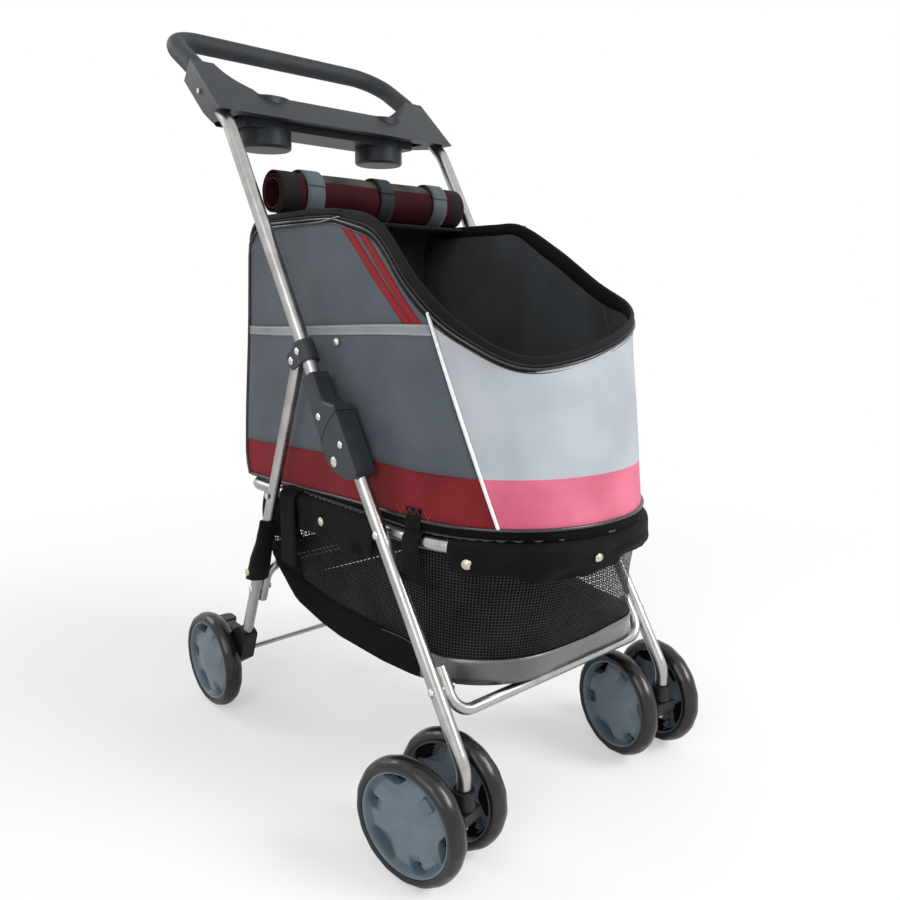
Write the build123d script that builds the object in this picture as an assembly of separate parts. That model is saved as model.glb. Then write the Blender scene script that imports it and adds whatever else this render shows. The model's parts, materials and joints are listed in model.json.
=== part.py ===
from build123d import *
from math import cos, radians, sin, sqrt, tan
import os

os.makedirs("parts", exist_ok=True)

# A folding pet stroller. It faces -Y, its left side is +X, and it stands on Z = 0.
# All sizes are in millimetres and degrees.

# ---------------------------------------------------------------- driving sizes

FIXED_GAP = 0.05            # radial gap of a pin, rod or tube that stays put in its hole
RUNNING_GAP = 0.05          # radial gap of a shaft that turns in its hole
FACE_GAP = 0.3              # side gap between faces that slide past each other
SOFT_GAP = 0.3              # gap between a fabric piece and its neighbour

RING_HALF_WIDTH = 172.0     # axis of the ring tube that carries the basket and the carrier
FRAME_X = RING_HALF_WIDTH + 17.0    # middle plane of handle tubes, front legs and rear legs

PIVOT_Y = -90.5             # main fold pivot
PIVOT_Z = 447.0
HANDLE_ANGLE = 59.0         # slope of the handle tubes
LEG_ANGLE = 57.8            # slope of the front legs
REAR_LEG_ANGLE = 68.0       # slope of the rear legs
LEG_OFFSET = 24.0           # front leg axis in front of the fold pivot

HANDLE_TUBE_D = 19.0
FRONT_LEG_D = 17.0
REAR_LEG_D = 16.0
RING_TUBE_D = 16.0
CROSS_TUBE_D = 14.0
HANDLE_WALL = 1.5
LEG_WALL = 1.5

GRIP_D = 28.0
HANDLE_TOP_Z = 1011.0       # axis of the cross bar of the grip
HANDLE_KNEE_Z = HANDLE_TOP_Z - 145.0    # where the handle tubes bend back under the tray
GRIP_KNEE_Z = HANDLE_TOP_Z - 57.0
TRAY_TILT = 42.8            # slope of the tubes through the tray
GRIP_TILT = 32.3            # slope of the tubes above the tray
GRIP_CORNER_R = 52.0

WHEEL_R = 75.0
WHEEL_WIDTH = 27.0
TYRE_DEPTH = 13.0
AXLE_D = 8.0
FRONT_WHEEL_OFFSET = 39.0   # middle of each twin wheel from the swivel plane
REAR_WHEEL_X = FRAME_X + 24.5
REAR_AXLE_Y = 245.5
CASTER_Y = -314.5
CASTER_TRAIL = 45.0
CASTER_TURN = 11.0          # both casters stand turned outwards by this much
STEM_D = 11.0

RING_Z = 371.0
RING_FRONT_Y = -351.5
RING_REAR_Y = 178.5
RING_FRONT_R = RING_HALF_WIDTH - 12.0
RING_REAR_R = 34.0

CARRIER_HALF_WIDTH = RING_HALF_WIDTH - 2.0  # at the bottom seam
CARRIER_FRONT_Y = RING_FRONT_Y - 5.0
CARRIER_REAR_Y = RING_REAR_Y + 6.0
CARRIER_LEAN_FRONT = 41.5   # how far the front wall leans back over the whole height
CARRIER_LEAN_REAR = 16.0    # how far the rear wall leans in
CARRIER_LEAN_SIDE = 10.0    # how far each side wall leans in
CARRIER_TOP_Z = HANDLE_TOP_Z - 267.0    # leaves room for the rolled cover under the tray
CARRIER_WALL = 4.0
OPENING_REAR_Y = CARRIER_REAR_Y - 112.0
FRONT_FLAT = 5.0            # half width of the flat middle of the round front

BASKET_BOTTOM_Z = RING_Z - 175.0
BASKET_WALL = 3.0

TRAY_BOTTOM_Z = HANDLE_TOP_Z - 127.0
TRAY_TOP_Z = HANDLE_TOP_Z - 93.0
TRAY_HALF_WIDTH = FRAME_X + 16.0
TRAY_WALL = 3.0
CUP_X = 103.0
CUP_BORE_R = 35.0
CUP_FLOOR_Z = HANDLE_TOP_Z - 159.0

INNER_HEAD_H = 1.0          # height of every rivet head that faces the carrier
CUT_HALF = FRAME_X + 31.0   # half length of a cutter that passes through the whole frame


# ---------------------------------------------------------------- shared helpers

def write(name, shape):
    export_step(shape, f"parts/{name}.step")


def both_sides(name, left_piece):
    write(name + "_left", left_piece)
    write(name + "_right", mirror(left_piece, Plane.YZ))


def group(name, solids):
    write(name, Compound(children=list(solids)))


def mirrored_pair(left_piece):
    return [left_piece, mirror(left_piece, Plane.YZ)]


def outline(points, corner_radius=0.0):
    """A closed flat face through the points, with all corners rounded alike."""
    face = make_face(Polyline(*points, close=True))
    if corner_radius:
        face = fillet(face.vertices(), corner_radius)
    return face


def slab(plane, face, x_low, x_high):
    """Extrude a side profile drawn on a plane that faces +X, from x_low to x_high."""
    return extrude(plane.offset(x_low) * face, amount=x_high - x_low)


def rod_x(y, z, radius, x_low, x_high):
    """A round rod, or the cutter for a hole, along X."""
    middle = (x_low + x_high) / 2
    return Pos(middle, y, z) * Rot(0, 90, 0) * Cylinder(radius, x_high - x_low)


def tube(path_points, corner_radii, diameter, wall=0.0):
    """Bent round tube through the points, with one bend radius per inner point."""
    if corner_radii:
        path = FilletPolyline(*path_points, radius=corner_radii)
    else:
        path = Line(*path_points)
    section = Circle(diameter / 2)
    if wall:
        section -= Circle(diameter / 2 - wall)
    start = Plane(origin=path @ 0, z_dir=path % 0)
    return sweep(start * section, path=path)


def rivet(y, z, shank_r, head_r, head_h, x_low, x_high):
    """Rivet along X: domed head outside, low flat head on the side of the carrier."""
    length = x_high - x_low
    dome_r = (head_r ** 2 + head_h ** 2) / (2 * head_h)
    dome_mid = (head_r / 2, length + head_h - dome_r + sqrt(dome_r ** 2 - head_r ** 2 / 4))
    profile = make_face(
        [
            Polyline(
                (0, length + head_h), (0, -INNER_HEAD_H), (head_r, -INNER_HEAD_H),
                (head_r, 0), (shank_r, 0), (shank_r, length), (head_r, length),
            ),
            ThreePointArc((head_r, length), dome_mid, (0, length + head_h)),
        ]
    )
    return Pos(x_low, y, z) * Rot(0, 90, 0) * revolve(Plane.XZ * profile, Axis.Z)


# ---------------------------------------------------------------- frame layout

handle_up = Vector(0, cos(radians(HANDLE_ANGLE)), sin(radians(HANDLE_ANGLE)))
leg_up = Vector(0, cos(radians(LEG_ANGLE)), sin(radians(LEG_ANGLE)))
rear_leg_up = Vector(0, -cos(radians(REAR_LEG_ANGLE)), sin(radians(REAR_LEG_ANGLE)))

fold_pivot = Vector(0, PIVOT_Y, PIVOT_Z)
# on these side planes local X runs up the tube and local Y runs to the front
handle_side = Plane(origin=fold_pivot, x_dir=handle_up, z_dir=(1, 0, 0))
leg_side = Plane(origin=fold_pivot, x_dir=leg_up, z_dir=(1, 0, 0))


def on_side(side_plane, along, forward):
    """The point of a side plane in the stroller's own frame, at X = 0."""
    return side_plane.from_local_coords(Vector(along, forward, 0))


def leg_point_at_z(z):
    foot = on_side(leg_side, 0, LEG_OFFSET)
    return foot + leg_up * ((z - foot.Z) / leg_up.Z)


def leg_point_at_y(y):
    foot = on_side(leg_side, 0, LEG_OFFSET)
    return foot + leg_up * ((y - foot.Y) / leg_up.Y)


BRACKET_ALONG = 147.6       # rear leg bracket's middle, up the handle from the fold pivot
REAR_PIVOT_BEHIND = 22.5    # rear leg pivot behind the handle tube's axis
rear_pivot = on_side(handle_side, BRACKET_ALONG, -REAR_PIVOT_BEHIND)


def rear_leg_point_at_z(z):
    return rear_pivot + rear_leg_up * ((z - rear_pivot.Z) / rear_leg_up.Z)


ring_front_pivot = leg_point_at_z(RING_Z)
ring_rear_pivot = rear_leg_point_at_z(RING_Z)


def at_frame(point, x=FRAME_X):
    return (x, point.Y, point.Z)


# ---------------------------------------------------------------- handle tube and grip

HANDLE_FOOT_ALONG = 46.0    # lower end of the handle tube, up from the fold pivot
SOCKET_ALONG = 127.0        # tray socket's mouth, up from the knee
KNEE_R = 70.0

handle_knee = fold_pivot + handle_up * ((HANDLE_KNEE_Z - PIVOT_Z) / handle_up.Z)
tray_slope = tan(radians(TRAY_TILT))
TRAY_REAR_Y = handle_knee.Y + 119.25
CUP_Y = handle_knee.Y + 59.25
grip_slope = tan(radians(GRIP_TILT))
grip_knee = Vector(0, handle_knee.Y + (GRIP_KNEE_Z - HANDLE_KNEE_Z) / tray_slope, GRIP_KNEE_Z)
grip_corner = Vector(
    0, grip_knee.Y + (HANDLE_TOP_Z - GRIP_KNEE_Z) / grip_slope, HANDLE_TOP_Z
)
tray_up = Vector(0, cos(radians(TRAY_TILT)), sin(radians(TRAY_TILT)))
grip_foot = handle_knee + tray_up * (SOCKET_ALONG - 9.0)

handle_foot = on_side(handle_side, HANDLE_FOOT_ALONG, 0)
upper_bends = [grip_knee, grip_corner]


def handle_bow(first_points, first_radii, diameter, wall):
    """The U of the handle, from one end up, across the grip's bar and down again."""
    rise = first_points + upper_bends
    points = [at_frame(p) for p in rise] + [at_frame(p, -FRAME_X) for p in reversed(rise)]
    rise_radii = first_radii + [KNEE_R, GRIP_CORNER_R]
    return tube(points, rise_radii + rise_radii[::-1], diameter, wall)


handle_tube = handle_bow([handle_foot, handle_knee], [KNEE_R], HANDLE_TUBE_D, HANDLE_WALL)
grip = handle_bow(
    [grip_foot], [], GRIP_D, (GRIP_D - HANDLE_TUBE_D) / 2 - FIXED_GAP
)

# ---------------------------------------------------------------- cup tray

SOCKET_R = 17.0             # half depth of the tray's end round the tube
CONCAVE_X = 100.0           # where the rim starts to rise towards the sockets
SOCKET_INNER_X = FRAME_X - 18.0
TRAY_POCKET_HALF = FRAME_X - 24.0

tray_axis = Plane(origin=handle_knee, x_dir=tray_up, z_dir=(1, 0, 0))
mouth_front = on_side(tray_axis, SOCKET_ALONG - 9.5, SOCKET_R)
mouth_rear = on_side(tray_axis, SOCKET_ALONG - 9.5, -SOCKET_R)
front_foot_y = mouth_front.Y - (mouth_front.Z - TRAY_BOTTOM_Z) / tray_slope

tray_side_view = outline(
    [
        (front_foot_y, TRAY_BOTTOM_Z),
        (mouth_front.Y, mouth_front.Z),
        (mouth_rear.Y, mouth_rear.Z),
        (TRAY_REAR_Y, TRAY_TOP_Z),
        (TRAY_REAR_Y, TRAY_BOTTOM_Z),
    ]
)


def tray_front_view(inset):
    """Front outline of the tray: a level middle whose rim sweeps up to both sockets."""
    outer = TRAY_HALF_WIDTH - inset
    peak = mouth_front.Z + 1.0
    low = TRAY_TOP_Z - inset
    rise = Spline(
        (CONCAVE_X, low), (0.62 * CONCAVE_X + 0.38 * SOCKET_INNER_X, low + 5.5),
        (SOCKET_INNER_X, peak),
        tangents=[(1, 0), (0.45, 1)],
    )
    fall = mirror(rise, Plane.YZ)
    edges = [
        Line((-CONCAVE_X, low), (CONCAVE_X, low)),
        rise,
        Line((SOCKET_INNER_X, peak), (outer, peak)),
        Line((outer, peak), (outer, TRAY_BOTTOM_Z)),
        Line((outer, TRAY_BOTTOM_Z), (-outer, TRAY_BOTTOM_Z)),
        Line((-outer, TRAY_BOTTOM_Z), (-outer, peak)),
        Line((-outer, peak), (-SOCKET_INNER_X, peak)),
        fall,
    ]
    return make_face(edges)


tray_block = slab(Plane.YZ, tray_side_view, -TRAY_HALF_WIDTH, TRAY_HALF_WIDTH)
tray_front = extrude(Plane.XZ.offset(-TRAY_REAR_Y) * tray_front_view(0), amount=TRAY_REAR_Y)
tray_block = tray_block & tray_front
tray_pocket_depth = TRAY_TOP_Z - TRAY_BOTTOM_Z - TRAY_WALL
tray_pocket = Pos(0, 0, TRAY_BOTTOM_Z) * extrude(
    outline(
        [
            (-TRAY_POCKET_HALF, front_foot_y + 24),
            (TRAY_POCKET_HALF, front_foot_y + 24),
            (TRAY_POCKET_HALF, TRAY_REAR_Y - TRAY_WALL),
            (-TRAY_POCKET_HALF, TRAY_REAR_Y - TRAY_WALL),
        ],
        6,
    ),
    amount=tray_pocket_depth,
)
tray_pocket &= slab(
    Plane.YZ,
    outline(
        [
            (front_foot_y + 8, TRAY_BOTTOM_Z),
            (front_foot_y + 8 + tray_pocket_depth / tray_slope, TRAY_TOP_Z - TRAY_WALL),
            (TRAY_REAR_Y - TRAY_WALL, TRAY_TOP_Z - TRAY_WALL),
            (TRAY_REAR_Y - TRAY_WALL, TRAY_BOTTOM_Z),
        ]
    ),
    -TRAY_POCKET_HALF, TRAY_POCKET_HALF,
)
cup_tray = tray_block - tray_pocket
under_lip = Pos(0, CUP_Y + 3, TRAY_BOTTOM_Z - 3.5) * Box(2 * CUP_X + 90, 76, 13)
cup_tray += fillet(under_lip.edges().filter_by(Axis.Z), 8)
well_height = TRAY_TOP_Z - CUP_FLOOR_Z + TRAY_WALL
for cup_x in (-CUP_X, CUP_X):
    well = Pos(cup_x, CUP_Y, TRAY_TOP_Z - well_height / 2) * Cylinder(
        CUP_BORE_R + TRAY_WALL, well_height
    )
    well = fillet(well.edges().sort_by(Axis.Z)[0], 5)
    cup_tray += well
for cup_x in (-CUP_X, CUP_X):
    cup_tray -= Pos(cup_x, CUP_Y, CUP_FLOOR_Z + 60) * Cylinder(CUP_BORE_R, 120)
socket_bore = handle_bow(
    [handle_foot, handle_knee], [KNEE_R], HANDLE_TUBE_D + 2 * FIXED_GAP, 0
)
cup_tray -= socket_bore

write("grip", grip)
write("cup_tray", cup_tray)

SCREW_R = 3.4

tray_screws = []
for socket_x in (-FRAME_X, FRAME_X):
    seat = on_side(tray_axis, SOCKET_ALONG / 2 + 6.0, 0)
    head = Cylinder(SCREW_R, 2.4) - Pos(0, 0, 1.0) * Box(4.6, 1.0, 1.4)
    face_x = TRAY_HALF_WIDTH if socket_x > 0 else -TRAY_HALF_WIDTH
    turn = 90 if socket_x > 0 else -90
    tray_screws.append(
        Pos(face_x + (1.2 if socket_x > 0 else -1.2), seat.Y, seat.Z) * Rot(0, turn, 0) * head
    )
group("tray_screws", tray_screws)

# ---------------------------------------------------------------- fold joint

UPPER_THICKNESS = 28.0      # upper housing across X
LOWER_THICKNESS = 27.0      # lower housing across X
TONGUE_THICKNESS = 10.0
TONGUE_HALF_WIDTH = 10.0
UPPER_TOP_ALONG = 114.0
SLEEVE_FRONT = 15.0
SLEEVE_REAR = 14.0
FLANGE_FRONT = 38.0
JOINT_SEAM_GAP = 0.8        # gap between the two housings along their curved seam
FOLD_PIN_R = 4.0
RIVET_R = 2.5
RIVET_HEAD_R = 4.6
RIVET_HEAD_H = 2.2
UPPER_RIVET_ALONG = 60.0
LEG_RIVET_ALONG = 12.0
LEG_TOP_ALONG = 32.0

# The seam falls towards the pivot at the rear, so the upper housing can roll off
# the lower one when the handle folds back, but not forwards.
seam_rear = (30.0, -15.0)
seam_middle = (41.0, 4.0)
seam_front = (51.0, FLANGE_FRONT)


def seam(shift):
    """The curved seam, moved towards the pivot by shift."""
    return ThreePointArc(
        (seam_rear[0] - shift, seam_rear[1]),
        (seam_middle[0] - shift, seam_middle[1]),
        (seam_front[0] - shift, seam_front[1]),
    )


def along_handle(point):
    return (point - fold_pivot).dot(handle_up)


def is_sleeve_edge(edge):
    """True for the edges that run up the sleeve, from the skirt to its top."""
    rise = abs(along_handle(edge @ 1) - along_handle(edge @ 0))
    return rise > 20 and along_handle(edge @ 0.5) > seam_front[0] + 6


def upper_housing():
    """Sleeve on the handle tube, with a flared skirt that sits over the lower housing."""
    skirt = make_face(
        [
            seam(0),
            Line(seam_front, (60.0, FLANGE_FRONT)),
            Spline(
                (60.0, FLANGE_FRONT), (67.0, 26.0), (84.0, SLEEVE_FRONT),
                tangents=[(0.25, -1), (1, 0)],
            ),
            Line((84.0, SLEEVE_FRONT), (UPPER_TOP_ALONG, SLEEVE_FRONT)),
            Line((UPPER_TOP_ALONG, SLEEVE_FRONT), (UPPER_TOP_ALONG, -SLEEVE_REAR)),
            Line((UPPER_TOP_ALONG, -SLEEVE_REAR), seam_rear),
        ]
    )
    x_low = FRAME_X - UPPER_THICKNESS / 2
    x_high = FRAME_X + UPPER_THICKNESS / 2
    body = slab(handle_side, skirt, x_low, x_high)
    sleeve_edges = [e for e in body.edges() if is_sleeve_edge(e)]
    body = fillet(sleeve_edges, 5.0)
    tongue_top = seam_middle[0] + 6.0
    tongue = outline(
        [
            (0, -TONGUE_HALF_WIDTH),
            (tongue_top, -TONGUE_HALF_WIDTH),
            (tongue_top, TONGUE_HALF_WIDTH),
            (0, TONGUE_HALF_WIDTH),
        ]
    ) + Circle(TONGUE_HALF_WIDTH)
    half = TONGUE_THICKNESS / 2
    body += slab(handle_side, tongue, FRAME_X - half, FRAME_X + half)
    body -= rod_x(PIVOT_Y, PIVOT_Z, FOLD_PIN_R + RUNNING_GAP, x_low, x_high)
    rivet_at = on_side(handle_side, UPPER_RIVET_ALONG, 0)
    body -= rod_x(rivet_at.Y, rivet_at.Z, RIVET_R + FIXED_GAP, x_low - 1, x_high + 1)
    return body - socket_bore


def lower_housing():
    """Sleeve on the front leg, with two cheeks that hold the fold pin."""
    cheek = make_face(
        [
            seam(JOINT_SEAM_GAP),
            Line((seam_front[0] - JOINT_SEAM_GAP, FLANGE_FRONT), (-24.0, 38.0)),
            ThreePointArc((-24.0, 38.0), (-31.0, 36.0), (-34.0, 30.0)),
            Spline((-34.0, 30.0), (-28.0, 14.0), (-13.0, -3.0), (0.0, -11.5)),
            Line((0.0, -11.5), (seam_rear[0] - JOINT_SEAM_GAP, seam_rear[1])),
        ]
    )
    x_low = FRAME_X - LOWER_THICKNESS / 2
    x_high = FRAME_X + LOWER_THICKNESS / 2
    body = slab(handle_side, cheek, x_low, x_high)
    slot_front = LEG_OFFSET - FRONT_LEG_D / 2 - 2.5
    slot_half = TONGUE_THICKNESS / 2 + FACE_GAP
    slot = outline([(-60, -60), (90, -60), (90, slot_front), (-60, slot_front)])
    body -= slab(handle_side, slot, FRAME_X - slot_half, FRAME_X + slot_half)
    body -= rod_x(PIVOT_Y, PIVOT_Z, FOLD_PIN_R + FIXED_GAP, x_low, x_high)
    rivet_at = on_side(leg_side, LEG_RIVET_ALONG, LEG_OFFSET)
    body -= rod_x(rivet_at.Y, rivet_at.Z, RIVET_R + FIXED_GAP, x_low - 1, x_high + 1)
    return body - leg_bore


# ---------------------------------------------------------------- front legs

LEG_FOOT_Z = 114.0
LEG_BEND_R = 45.0

leg_top = on_side(leg_side, LEG_TOP_ALONG, LEG_OFFSET)
leg_bend = leg_point_at_y(CASTER_Y)
leg_foot = Vector(0, CASTER_Y, LEG_FOOT_Z)
leg_route = [at_frame(leg_top), at_frame(leg_bend), at_frame(leg_foot)]

leg_bore = tube(leg_route, [LEG_BEND_R], FRONT_LEG_D + 2 * FIXED_GAP)

CROSS_BOLT_Z = 211.0
BOLT_R = 3.0
cross_bolt = leg_point_at_z(CROSS_BOLT_Z)

front_leg = tube(leg_route, [LEG_BEND_R], FRONT_LEG_D, LEG_WALL)
leg_rivet_at = on_side(leg_side, LEG_RIVET_ALONG, LEG_OFFSET)
for hole_at, hole_r in (
    (leg_rivet_at, RIVET_R),
    (ring_front_pivot, BOLT_R),
    (cross_bolt, BOLT_R),
):
    front_leg -= rod_x(hole_at.Y, hole_at.Z, hole_r + FIXED_GAP, FRAME_X - 29, CUT_HALF)
both_sides("front_leg", front_leg)
both_sides("upper_fold_housing", upper_housing())
both_sides("lower_fold_housing", lower_housing())

fold_pin = rivet(
    PIVOT_Y, PIVOT_Z, FOLD_PIN_R, 6.4, RIVET_HEAD_H,
    FRAME_X - LOWER_THICKNESS / 2, FRAME_X + LOWER_THICKNESS / 2,
)
group("fold_pins", mirrored_pair(fold_pin))

# ---------------------------------------------------------------- front cross tube

CROSS_CORNER_R = 24.0
CROSS_WALL = 1.5
CROSS_END = 24.0            # end of a cross tube past its bolt, along the leg
CROSS_REACH = 32.0          # level part from the bolt, along the leg


def cross_tube_x(leg_d):
    """Middle plane of a cross tube's ends, beside the inner side of a leg."""
    return FRAME_X - (leg_d + CROSS_TUBE_D) / 2 - FACE_GAP


def cross_member(bolt_at, direction, reach, leg_d):
    """U-shaped brace whose ends lie flat against the inner sides of two legs."""
    x = cross_tube_x(leg_d)
    end = bolt_at - direction * CROSS_END
    level = bolt_at + direction * reach
    points = [at_frame(end, x), at_frame(level, x), at_frame(level, -x), at_frame(end, -x)]
    brace = tube(points, [CROSS_CORNER_R] * 2, CROSS_TUBE_D, CROSS_WALL)
    return brace - rod_x(bolt_at.Y, bolt_at.Z, BOLT_R + FIXED_GAP, -CUT_HALF, CUT_HALF)


write("front_cross_tube", cross_member(cross_bolt, leg_up * -1, CROSS_REACH, FRONT_LEG_D))

front_bolt = rivet(
    cross_bolt.Y, cross_bolt.Z, BOLT_R, 5.0, 2.6,
    cross_tube_x(FRONT_LEG_D) - CROSS_TUBE_D / 2, FRAME_X + FRONT_LEG_D / 2,
)
leg_rivet = rivet(
    leg_rivet_at.Y, leg_rivet_at.Z, RIVET_R, RIVET_HEAD_R, RIVET_HEAD_H,
    FRAME_X - LOWER_THICKNESS / 2, FRAME_X + LOWER_THICKNESS / 2,
)
group("front_frame_rivets", mirrored_pair(front_bolt) + mirrored_pair(leg_rivet))

ring_bolt = rivet(
    ring_front_pivot.Y, ring_front_pivot.Z, BOLT_R, 5.2, 3.0,
    RING_HALF_WIDTH - RING_TUBE_D / 2 - 0.6, FRAME_X + FRONT_LEG_D / 2,
)
group("ring_bolts", mirrored_pair(ring_bolt))

# ---------------------------------------------------------------- rear leg brackets

BRACKET_LENGTH = 27.0
BRACKET_R = 13.5
EAR_THICKNESS = 3.0
EAR_REACH = 30.0
EAR_GAP = 0.4
REAR_PIN_R = 3.0

ear_low = BRACKET_ALONG - BRACKET_LENGTH / 2
ear_high = BRACKET_ALONG + BRACKET_LENGTH / 2
ear_face = outline(
    [
        (ear_low, 6.0), (ear_low + 2.0, -EAR_REACH + 3.0), (ear_high - 4.0, -EAR_REACH),
        (ear_high, 6.0),
    ],
    3.0,
)
ear_x = FRAME_X + REAR_LEG_D / 2 + EAR_GAP
far_ear_x = FRAME_X - REAR_LEG_D / 2 - EAR_GAP
collar_plane = Plane(
    origin=at_frame(on_side(handle_side, ear_low, 0)), z_dir=handle_up
)
leg_bracket = collar_plane * Pos(0, 0, BRACKET_LENGTH / 2) * Cylinder(BRACKET_R, BRACKET_LENGTH)
leg_bracket += slab(handle_side, ear_face, ear_x, ear_x + EAR_THICKNESS)
leg_bracket += slab(handle_side, ear_face, far_ear_x - EAR_THICKNESS, far_ear_x)
leg_bracket -= socket_bore
bracket_rivet_at = on_side(handle_side, BRACKET_ALONG + 2.0, 0)
bracket_low_x = far_ear_x - EAR_THICKNESS
bracket_high_x = ear_x + EAR_THICKNESS
leg_bracket -= rod_x(
    bracket_rivet_at.Y, bracket_rivet_at.Z, RIVET_R + FIXED_GAP, FRAME_X - 29, CUT_HALF
)
leg_bracket -= rod_x(
    rear_pivot.Y, rear_pivot.Z, REAR_PIN_R + FIXED_GAP, FRAME_X - 29, CUT_HALF
)
both_sides("rear_leg_bracket", leg_bracket)

upper_rivet_at = on_side(handle_side, UPPER_RIVET_ALONG, 0)
upper_rivet = rivet(
    upper_rivet_at.Y, upper_rivet_at.Z, RIVET_R, RIVET_HEAD_R, RIVET_HEAD_H,
    FRAME_X - UPPER_THICKNESS / 2, FRAME_X + UPPER_THICKNESS / 2,
)
bracket_rivet = rivet(
    bracket_rivet_at.Y, bracket_rivet_at.Z, RIVET_R, RIVET_HEAD_R, RIVET_HEAD_H,
    FRAME_X - BRACKET_R, FRAME_X + BRACKET_R,
)
group("handle_rivets", mirrored_pair(upper_rivet) + mirrored_pair(bracket_rivet))

for hole_at in (upper_rivet_at, bracket_rivet_at):
    handle_tube -= rod_x(hole_at.Y, hole_at.Z, RIVET_R + FIXED_GAP, -CUT_HALF, CUT_HALF)
write("handle_tube", handle_tube)

rear_leg_pin = rivet(
    rear_pivot.Y, rear_pivot.Z, REAR_PIN_R, 5.0, RIVET_HEAD_H,
    far_ear_x - EAR_THICKNESS, ear_x + EAR_THICKNESS,
)
group("rear_leg_pins", mirrored_pair(rear_leg_pin))

# ---------------------------------------------------------------- rear legs

REAR_LEG_FOOT_Z = 100.0
REAR_BOLT_Z = 216.0
REAR_CROSS_REACH = 40.0

rear_foot_end = rear_leg_point_at_z(REAR_LEG_FOOT_Z)
rear_bolt = rear_leg_point_at_z(REAR_BOLT_Z)
rear_route = [at_frame(rear_pivot), at_frame(rear_foot_end)]

rear_leg = tube(rear_route, [], REAR_LEG_D, LEG_WALL)
rear_leg += Pos(*at_frame(rear_pivot)) * Sphere(REAR_LEG_D / 2)
for hole_at, hole_r in (
    (rear_pivot, REAR_PIN_R + RUNNING_GAP),
    (ring_rear_pivot, BOLT_R + FIXED_GAP),
    (rear_bolt, BOLT_R + FIXED_GAP),
):
    rear_leg -= rod_x(hole_at.Y, hole_at.Z, hole_r, FRAME_X - 29, CUT_HALF)
both_sides("rear_leg", rear_leg)
write(
    "rear_cross_tube",
    cross_member(rear_bolt, rear_leg_up, REAR_CROSS_REACH, REAR_LEG_D),
)

leg_side_x = FRAME_X + REAR_LEG_D / 2
rear_cross_bolt = rivet(
    rear_bolt.Y, rear_bolt.Z, BOLT_R, 5.0, 2.6,
    cross_tube_x(REAR_LEG_D) - CROSS_TUBE_D / 2, leg_side_x,
)
ring_side_x = RING_HALF_WIDTH + RING_TUBE_D / 2 + FACE_GAP
ring_link_bolt = rod_x(
    ring_rear_pivot.Y, ring_rear_pivot.Z, BOLT_R, ring_side_x, leg_side_x + 1.0
)
ring_link_bolt += rod_x(
    ring_rear_pivot.Y, ring_rear_pivot.Z, 5.0, leg_side_x, leg_side_x + 3.0
)
group("rear_frame_bolts", mirrored_pair(rear_cross_bolt) + mirrored_pair(ring_link_bolt))

# ---------------------------------------------------------------- rear feet and axle

FOOT_X_LOW = FRAME_X - 11.0
FOOT_X_HIGH = FRAME_X + 10.5
FOOT_SOCKET_R = 12.0
FOOT_SOCKET_LENGTH = 44.0
AXLE_BOSS_R = 17.0
PEDAL_PIN_R = 5.0
PEDAL_PIVOT_Y = 220.5
PEDAL_PIVOT_Z = 104.0
PEDAL_WIDTH = 16.0

rear_side = Plane(origin=rear_foot_end, x_dir=rear_leg_up, z_dir=(1, 0, 0))
socket_rear = on_side(rear_side, FOOT_SOCKET_LENGTH, -FOOT_SOCKET_R)
socket_front = on_side(rear_side, FOOT_SOCKET_LENGTH, FOOT_SOCKET_R)
heel = on_side(rear_side, -6.0, FOOT_SOCKET_R)

foot_face = outline(
    [
        (socket_front.Y, socket_front.Z),
        (socket_rear.Y, socket_rear.Z),
        (REAR_AXLE_Y + 6.0, WHEEL_R + 24.0),
        (REAR_AXLE_Y + AXLE_BOSS_R + 1.0, WHEEL_R + 4.0),
        (REAR_AXLE_Y + 9.0, WHEEL_R - AXLE_BOSS_R),
        (REAR_AXLE_Y - 10.0, WHEEL_R - AXLE_BOSS_R),
        (heel.Y, heel.Z),
    ],
    7.0,
)
rear_foot = slab(Plane.YZ, foot_face, FOOT_X_LOW, FOOT_X_HIGH)
rear_foot += rod_x(
    PEDAL_PIVOT_Y, PEDAL_PIVOT_Z, PEDAL_PIN_R, FOOT_X_LOW - PEDAL_WIDTH - 2.0, FOOT_X_LOW + 1.0
)
rear_foot -= rod_x(REAR_AXLE_Y, WHEEL_R, AXLE_D / 2 + FIXED_GAP, FOOT_X_LOW - 28, FOOT_X_HIGH + 10)
foot_bore_end = rear_foot_end + rear_leg_up * 80.0
rear_foot -= tube(
    [at_frame(rear_foot_end), at_frame(foot_bore_end)], [], REAR_LEG_D + 2 * FIXED_GAP
)
both_sides("rear_foot", rear_foot)

BORE_DEPTH_PAST_MIDDLE = 4.0    # a wheel's blind axle bore, past the wheel's middle
axle_end = REAR_WHEEL_X + BORE_DEPTH_PAST_MIDDLE - FACE_GAP
write("rear_axle", rod_x(REAR_AXLE_Y, WHEEL_R, AXLE_D / 2, -axle_end, axle_end))

# ---------------------------------------------------------------- brake pedals

PEDAL_HUB_R = 9.5
PEDAL_REACH = 86.0
PEDAL_LIFT = 7.0
PAD_LENGTH = 26.0
PAD_WIDTH = 34.0

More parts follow.
